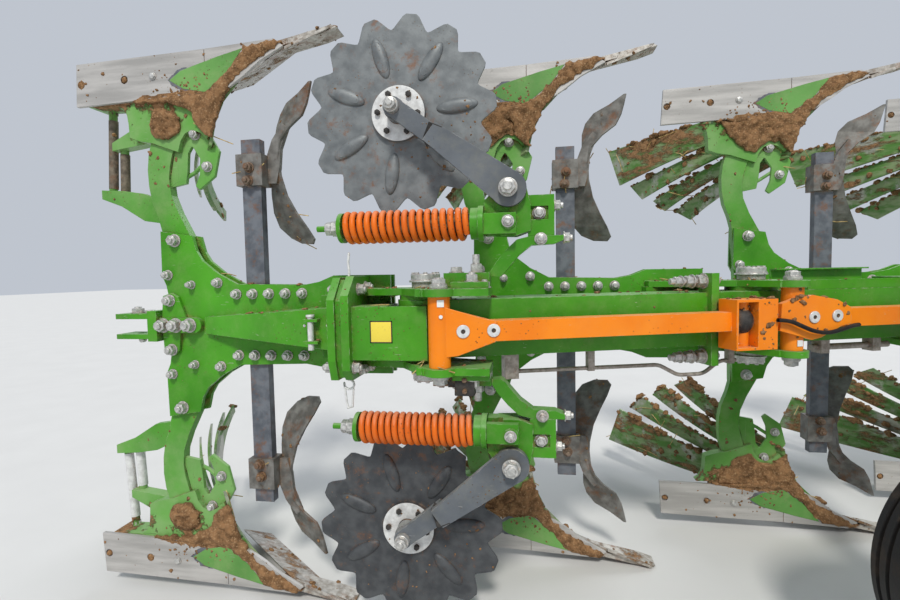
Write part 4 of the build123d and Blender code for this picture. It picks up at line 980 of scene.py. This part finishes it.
def slat_brackets():
    """Bracket in front of every leg that holds the slats, with its tie rod."""
    for k in FURROWS:
        bm = bmesh.new()
        for up in (1, -1):
            slab(bm, [at(k, x, 97, z * up) for x, z in slat_bracket], -Y * 12 * MM)
            tie = ((-846, 92, 468), (-790, 104, 500), (-745, 96, 530))
            wire(bm, [at(k, x, y, z * up) for x, y, z in tie], 7)
        piece(f"slat_brackets_{k}", bm, f"furrow_{k}", "body_green", bevel=2)


def landside_dirt(soil, k, up, seed):
    """Fine clods on a landside: most of them next to the leg, and a few all over it."""
    chance = random.Random(seed + 50)
    edge = []
    for _ in range(110):
        x, z = chance.triangular(-960, -620, -740), (740 + 62 * chance.random() ** 1.6) * up
        edge.append((at(k, x, land_face, z), -Y))
    clods(soil, edge, 0.8, 5.5, seed + 60, flat=0.35, detail=1)
    low, high = at(k, -1200, 0, min(700 * up, 900 * up)), at(k, -430, 60, max(700 * up, 900 * up))
    everywhere = scattered(f"landsides_{k}", 26, seed * 3, facing=-Y, low=low, high=high)
    clods(soil, everywhere, 1.2, 6.0, seed, flat=0.4)


def body_soil():
    """Soil, a painted shadow along the paint left on the landside, that paint, and nuts of every plough body.
    """
    for k in FURROWS:
        soil, paint_left, tongue_shadow, nuts = bmesh.new(), bmesh.new(), bmesh.new(), bmesh.new()
        for up in (1, -1):
            seed = 2 * k + (up > 0)

            def near_face(x, z, height, up=up):
                return at(k, x, 66 - height, z * up)
            crust(soil, near_face, shin_crust, rim=11.5, thick=13, step=6, seed=seed)
            if k == 1:
                crust(soil, near_face, round_crust, rim=4, thick=22, step=6, seed=seed + 20)
            else:
                crust(soil, near_face, frog_crust, rim=3, thick=20, step=7, seed=seed + 20)
            for x, z in ((-994, 798), (-1155, 794)):
                lump(soil, at(k, x, 60, z * up), -Y, 13, seed * 7 + x, flat=0.5)
            landside_dirt(soil, k, up, seed)
            # Painted shadow: a thin dark ragged sheet just under the landside paint, showing past its rear and
            # lower edge.
            crust(tongue_shadow, near_face, tongue_shadow_outline, rim=10.3, thick=0.0, step=5, seed=seed + 70)
            crust(soil, near_face, soil_streak, rim=10.2, thick=1.5, step=5, seed=seed + 80)
            slab(paint_left, [at(k, x, land_face, z * up) for x, z in paint_tongue], -Y * 0.8 * MM)
            bolt(nuts, at(k, -890, land_face, 801 * up), -Y, size=18, height=3, stick=0)
            bolt(nuts, at(k, -770, 85, 617 * up), -Y, size=26, height=12, thread=9, stick=6)
            bolt(nuts, at(k, -731, 85, 512 * up), -Y, size=24, height=12, stick=6)
        low, high = at(k, -1150, -100, -760), at(k, -400, 200, 760)
        clods(soil, scattered(f"legs_{k}", 60, k + 40, facing=-Y, low=low, high=high), 1.5, 8.0, k, flat=0.4)
        clods(soil, scattered(f"shares_{k}", 55, k + 60), 2.0, 11.0, k + 10)
        piece(f"body_soil_{k}", soil, f"furrow_{k}", "soil", sharp=80)
        piece(f"landside_paint_{k}", paint_left, f"furrow_{k}", "landside_green")
        piece(f"tongue_shadows_{k}", tongue_shadow, f"furrow_{k}", "shank")
        piece(f"body_nuts_{k}", nuts, f"furrow_{k}", "zinc")


def board_soil():
    """Soil caked on the mouldboards, skimmers and carriers, least on the rearmost furrow."""
    for k in FURROWS:
        bm = bmesh.new()
        clods(bm, scattered(f"mouldboards_{k}", 30 if k == 1 else 210, k + 80), 3.0, 17.0, k + 20, flat=0.5)
        if k > 1:
            ridges = scattered(f"mouldboards_{k}", 270, k + 140, facing=Z, least=0.6)
            clods(bm, ridges, 8.0, 21.0, k + 25, flat=0.7)
        clods(bm, scattered(f"skimmers_{k}", 50, k + 90), 1.5, 7.0, k + 30, flat=0.4)
        clods(bm, scattered(f"carrier_{k}", 60, k + 110, facing=Z, least=0.7), 2.0, 9.0, k + 50, flat=0.5)
        piece(f"board_soil_{k}", bm, f"furrow_{k}", "soil", sharp=80)


def clamp_bolts():
    """Two bolts through the clamp of every skimmer."""
    for k in FURROWS:
        bm = bmesh.new()
        for up in (1, -1):
            for x, z in ((-573, 497), (-578, 456)):
                bolt(bm, at(k, x, 63, z * up), -Y, height=13, stick=8, spin=z)
                bolt(bm, at(k, x, 121, z * up), Y, height=10, stick=0, spin=z)
        piece(f"clamp_bolts_{k}", bm, f"furrow_{k}", "rusty")


def stays_finish():
    """Sleeves and end nuts of the stays: rusty above, new and pale below."""
    stay_y = 131.6
    for name, up, finish in (("upper_stays", 1, "sleeve"), ("lower_stays", -1, "pale")):
        bm = bmesh.new()
        for (x0, z0), (x1, z1) in (((-1127, 440), (-1110, 728)), ((-1081, 415), (-1073, 600))):
            a, b = at(1, x0, stay_y, z0 * up), at(1, x1, stay_y, z1 * up)
            bar(bm, a + (b - a) * 0.09, b - a, 14.6, (b - a).length / MM * 0.80, sides=28)
            bar(bm, a + (b - a) * 0.96, b - a, 15, 14, sides=6)
        piece(name, bm, "furrow_1", finish)


def scattered_soil():
    """Clods on the beam, the coupling and the discs, and straw on the beam and the furrows."""
    bm = bmesh.new()
    clods(bm, scattered("beam", 120, 7, facing=Z, least=0.8), 2.5, 11.0, 71, flat=0.5)
    clods(bm, scattered("beam", 60, 8, facing=-across, least=0.8), 1.0, 4.0, 72, flat=0.4)
    clods(bm, scattered("hose_tray", 30, 9, facing=Z), 2.0, 8.0, 73, flat=0.5)
    piece("beam_soil", bm, "beam", "soil", sharp=80)
    bm = bmesh.new()
    low, high = on_beam(840, -260, -95), on_beam(1330, 0, 95)
    clods(bm, scattered("control_rod", 46, 12, facing=-across, low=low, high=high), 2.0, 9.0, 74, flat=0.5)
    clods(bm, scattered("control_rod", 40, 13, facing=Z, low=low, high=high), 3.0, 11.0, 75, flat=0.6)
    piece("rod_soil", bm, "control_rod", "soil", sharp=80)
    for name, seed in (("disc_upper", 31), ("disc_lower", 32)):
        bm = bmesh.new()
        clods(bm, scattered(name, 70, seed, facing=-Y), 1.2, 5.0, seed, flat=0.4)
        clods(bm, scattered(name, 40, seed + 5, facing=Y), 1.5, 8.0, seed + 1, flat=0.4)
        piece(f"{name}_soil", bm, name, "soil", sharp=80)
    bm = bmesh.new()
    stalks(bm, scattered("beam", 16, 21, facing=Z, least=0.8), 30, 90, 1)
    piece("beam_straw", bm, "beam", "straw")
    for k in FURROWS:
        bm = bmesh.new()
        stalks(bm, scattered(f"mouldboards_{k}", 6 if k == 1 else 40, 22 + k), 50, 170, 2)
        stalks(bm, scattered(f"carrier_{k}", 12, 32 + k, facing=Z, least=0.7), 25, 80, 3)
        stalks(bm, scattered(f"skimmers_{k}", 8, 42 + k), 25, 90, 4)
        piece(f"straw_{k}", bm, f"furrow_{k}", "straw")


# ---- depth wheel ----
def depth_wheel():
    """Ribbed tyre with shallow side lugs, wheel nuts, hub cap and valve."""
    hub = Vector(joints["depth_wheel_spin"]["pos_m"])
    half = [(205.4, 0), (205.4, 91), (214, 97), (232, 105), (262, 114), (290, 114.6), (312, 110), (330, 103),
            (342, 100), (350, 97), (355, 91), (355, 74), (344, 71), (344, 64), (355, 61), (355, 41),
            (344, 38), (344, 31), (355, 28), (355, 0)]
    profile = half + [(r, -w) for r, w in reversed(half[1:-1])]
    bm = bmesh.new()
    turn_outline(bm, hub, Y, [hub + (X * r + Y * w) * MM for r, w in profile], 112)
    lugs = 44
    for k in range(lugs):
        for side in (1, -1):
            turn = Matrix.Translation(hub) @ Matrix.Rotation(2 * pi * k / lugs + side * 0.035, 4, "Y")
            shoulder = turn @ Matrix.Translation((0.327, side * 0.1035, 0))
            lug = Matrix.Rotation(radians(side * 14), 4, "Z") @ Matrix.Diagonal((0.030, 0.005, 0.012, 1))
            bmesh.ops.create_cube(bm, size=1.0, matrix=shoulder @ lug)
    tyre = piece("ribbed_tyre", bm, "depth_wheel", "rubber", sharp=28)
    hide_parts("wheel_tyre")
    bm = bmesh.new()
    for k in range(6):
        a = 2 * pi * k / 6
        place = hub + ((X * cos(a) + Z * sin(a)) * 78 - Y * 30) * MM
        bolt(bm, place, -Y, size=22, height=14, thread=7, stick=8)
    bar(bm, hub - Y * 76 * MM, -Y, 33, 10, chamfer=5)
    bar(bm, hub + (X * 185 - Y * 55) * MM, -Y + X * 0.3, 4, 34, sides=12)
    piece("wheel_nuts", bm, "depth_wheel", "zinc")


# ---- headstock ----
def link_pin_clips():
    """Collars and spring clips on the two lower link pins."""
    low, high = (Vector(corner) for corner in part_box("lower_link_axle"))
    axle, half_width = (low + high) / 2, (high.y - low.y) / 2
    bm = bmesh.new()
    for side in (-1, 1):
        end = axle + Y * side * half_width
        for back in (12, 84):
            ring(bm, end - Y * side * back * MM, -Y * side, 18.4, 30, 5, steps=32, soften=1)
        clip = ((0, 26), (0, -26), (26, -26), (30, 14))
        wire(bm, [end + (X * x - Y * side * 6 + Z * z) * MM for x, z in clip], 3.5)
    piece("link_pin_clips", bm, "headstock", "zinc")


def bearing_collars():
    """Collars and grease nipples of the turnover bearing, and the parking stand's pin with its clip."""
    bm = bmesh.new()
    for ahead in (8, 238):
        ring(bm, bearing + X * ahead * MM, X, 115.2, 124, 16, soften=2)
    for ahead in (70, 190):
        bar(bm, bearing + (X * ahead + Z * 113) * MM, Z, 6, 12, sides=6)
        tip = Matrix.Translation(bearing + (X * ahead + Z * 127) * MM)
        bmesh.ops.create_icosphere(bm, subdivisions=2, radius=5 * MM, matrix=tip)
    low, high = (Vector(corner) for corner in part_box("stand_sleeve"))
    pin = Vector((low.x, low.y + 38 * MM, (low.z + high.z) / 2))
    bar(bm, pin - X * 16 * MM, X, 8, (high.x - low.x) / MM + 32, sides=18, chamfer=1.5)
    clip = ((0, 16), (0, -24), (16, -30), (22, -16), (6, 14))
    wire(bm, [pin + (-X * 12 + Y * y + Z * z) * MM for y, z in clip], 2)
    piece("bearing_collars", bm, "headstock", "zinc")


def cylinder_gland():
    """Gland, end ring and the two ports of the turnover cylinder."""
    bm = bmesh.new()
    eye = bearing + X * 395 * MM
    eye.z = joints["turnover_cylinder_swing"]["pos_m"][2]
    foot = bearing + (X * 395 + Y * 150) * MM
    down = (foot - eye).normalized()
    ring(bm, eye + down * 296 * MM, down, 24.6, 52, 18, soften=2)
    ring(bm, eye + down * 92 * MM, down, 40, 51, 12, soften=2)
    for reach in (118, 282):
        port = eye + down * reach * MM
        bar(bm, port + X * 44 * MM, X, 11, 9, sides=6)
        bar(bm, port + X * 53 * MM, X, 8, 5, sides=16, chamfer=1)
    piece("cylinder_gland", bm, "turnover_cylinder", "zinc")


def headstock_fittings():
    """Pins, bolts, collars and clips of the headstock, the console and the turnover cylinder."""
    link_pin_clips()
    bm = bmesh.new()
    for y, z in ((99.75, 276), (99.75, 180), (157.5, 0), (99.75, -180)):
        for side in (-1, 1):
            place = bearing + (X * 280 + Y * y * side + Z * z) * MM
            bolt(bm, place, -X, size=30, height=18, thread=10, stick=8)
    piece("cross_plate_bolts", bm, "headstock", "zinc")
    bm = bmesh.new()
    for up in (Z, -Z):
        bolt(bm, frame_pivot + up * 136 * MM, up, size=60, height=14, thread=18, stick=4, washer=1.2)
        for k in range(4):
            place = frame_pivot + (X * (170 + 75 * k) - Y * (60 - 4 * k) + up * 118) * MM
            bolt(bm, place, up, height=12, stick=6)
    piece("console_bolts", bm, "console", "zinc")
    bearing_collars()
    cylinder_gland()


finishes = make_finishes()
side_camera()
pale_floor()
soft_light()
shade_cad()
coupling_hose()
carrier_bolts()
pivot_nuts()
flange_bolts()
rod_fittings()
rear_box_fittings()
pipe_fittings()
coulter_springs()
coulter_fittings()
slat_brackets()
body_soil()
board_soil()
clamp_bolts()
stays_finish()
scattered_soil()
depth_wheel()
headstock_fittings()
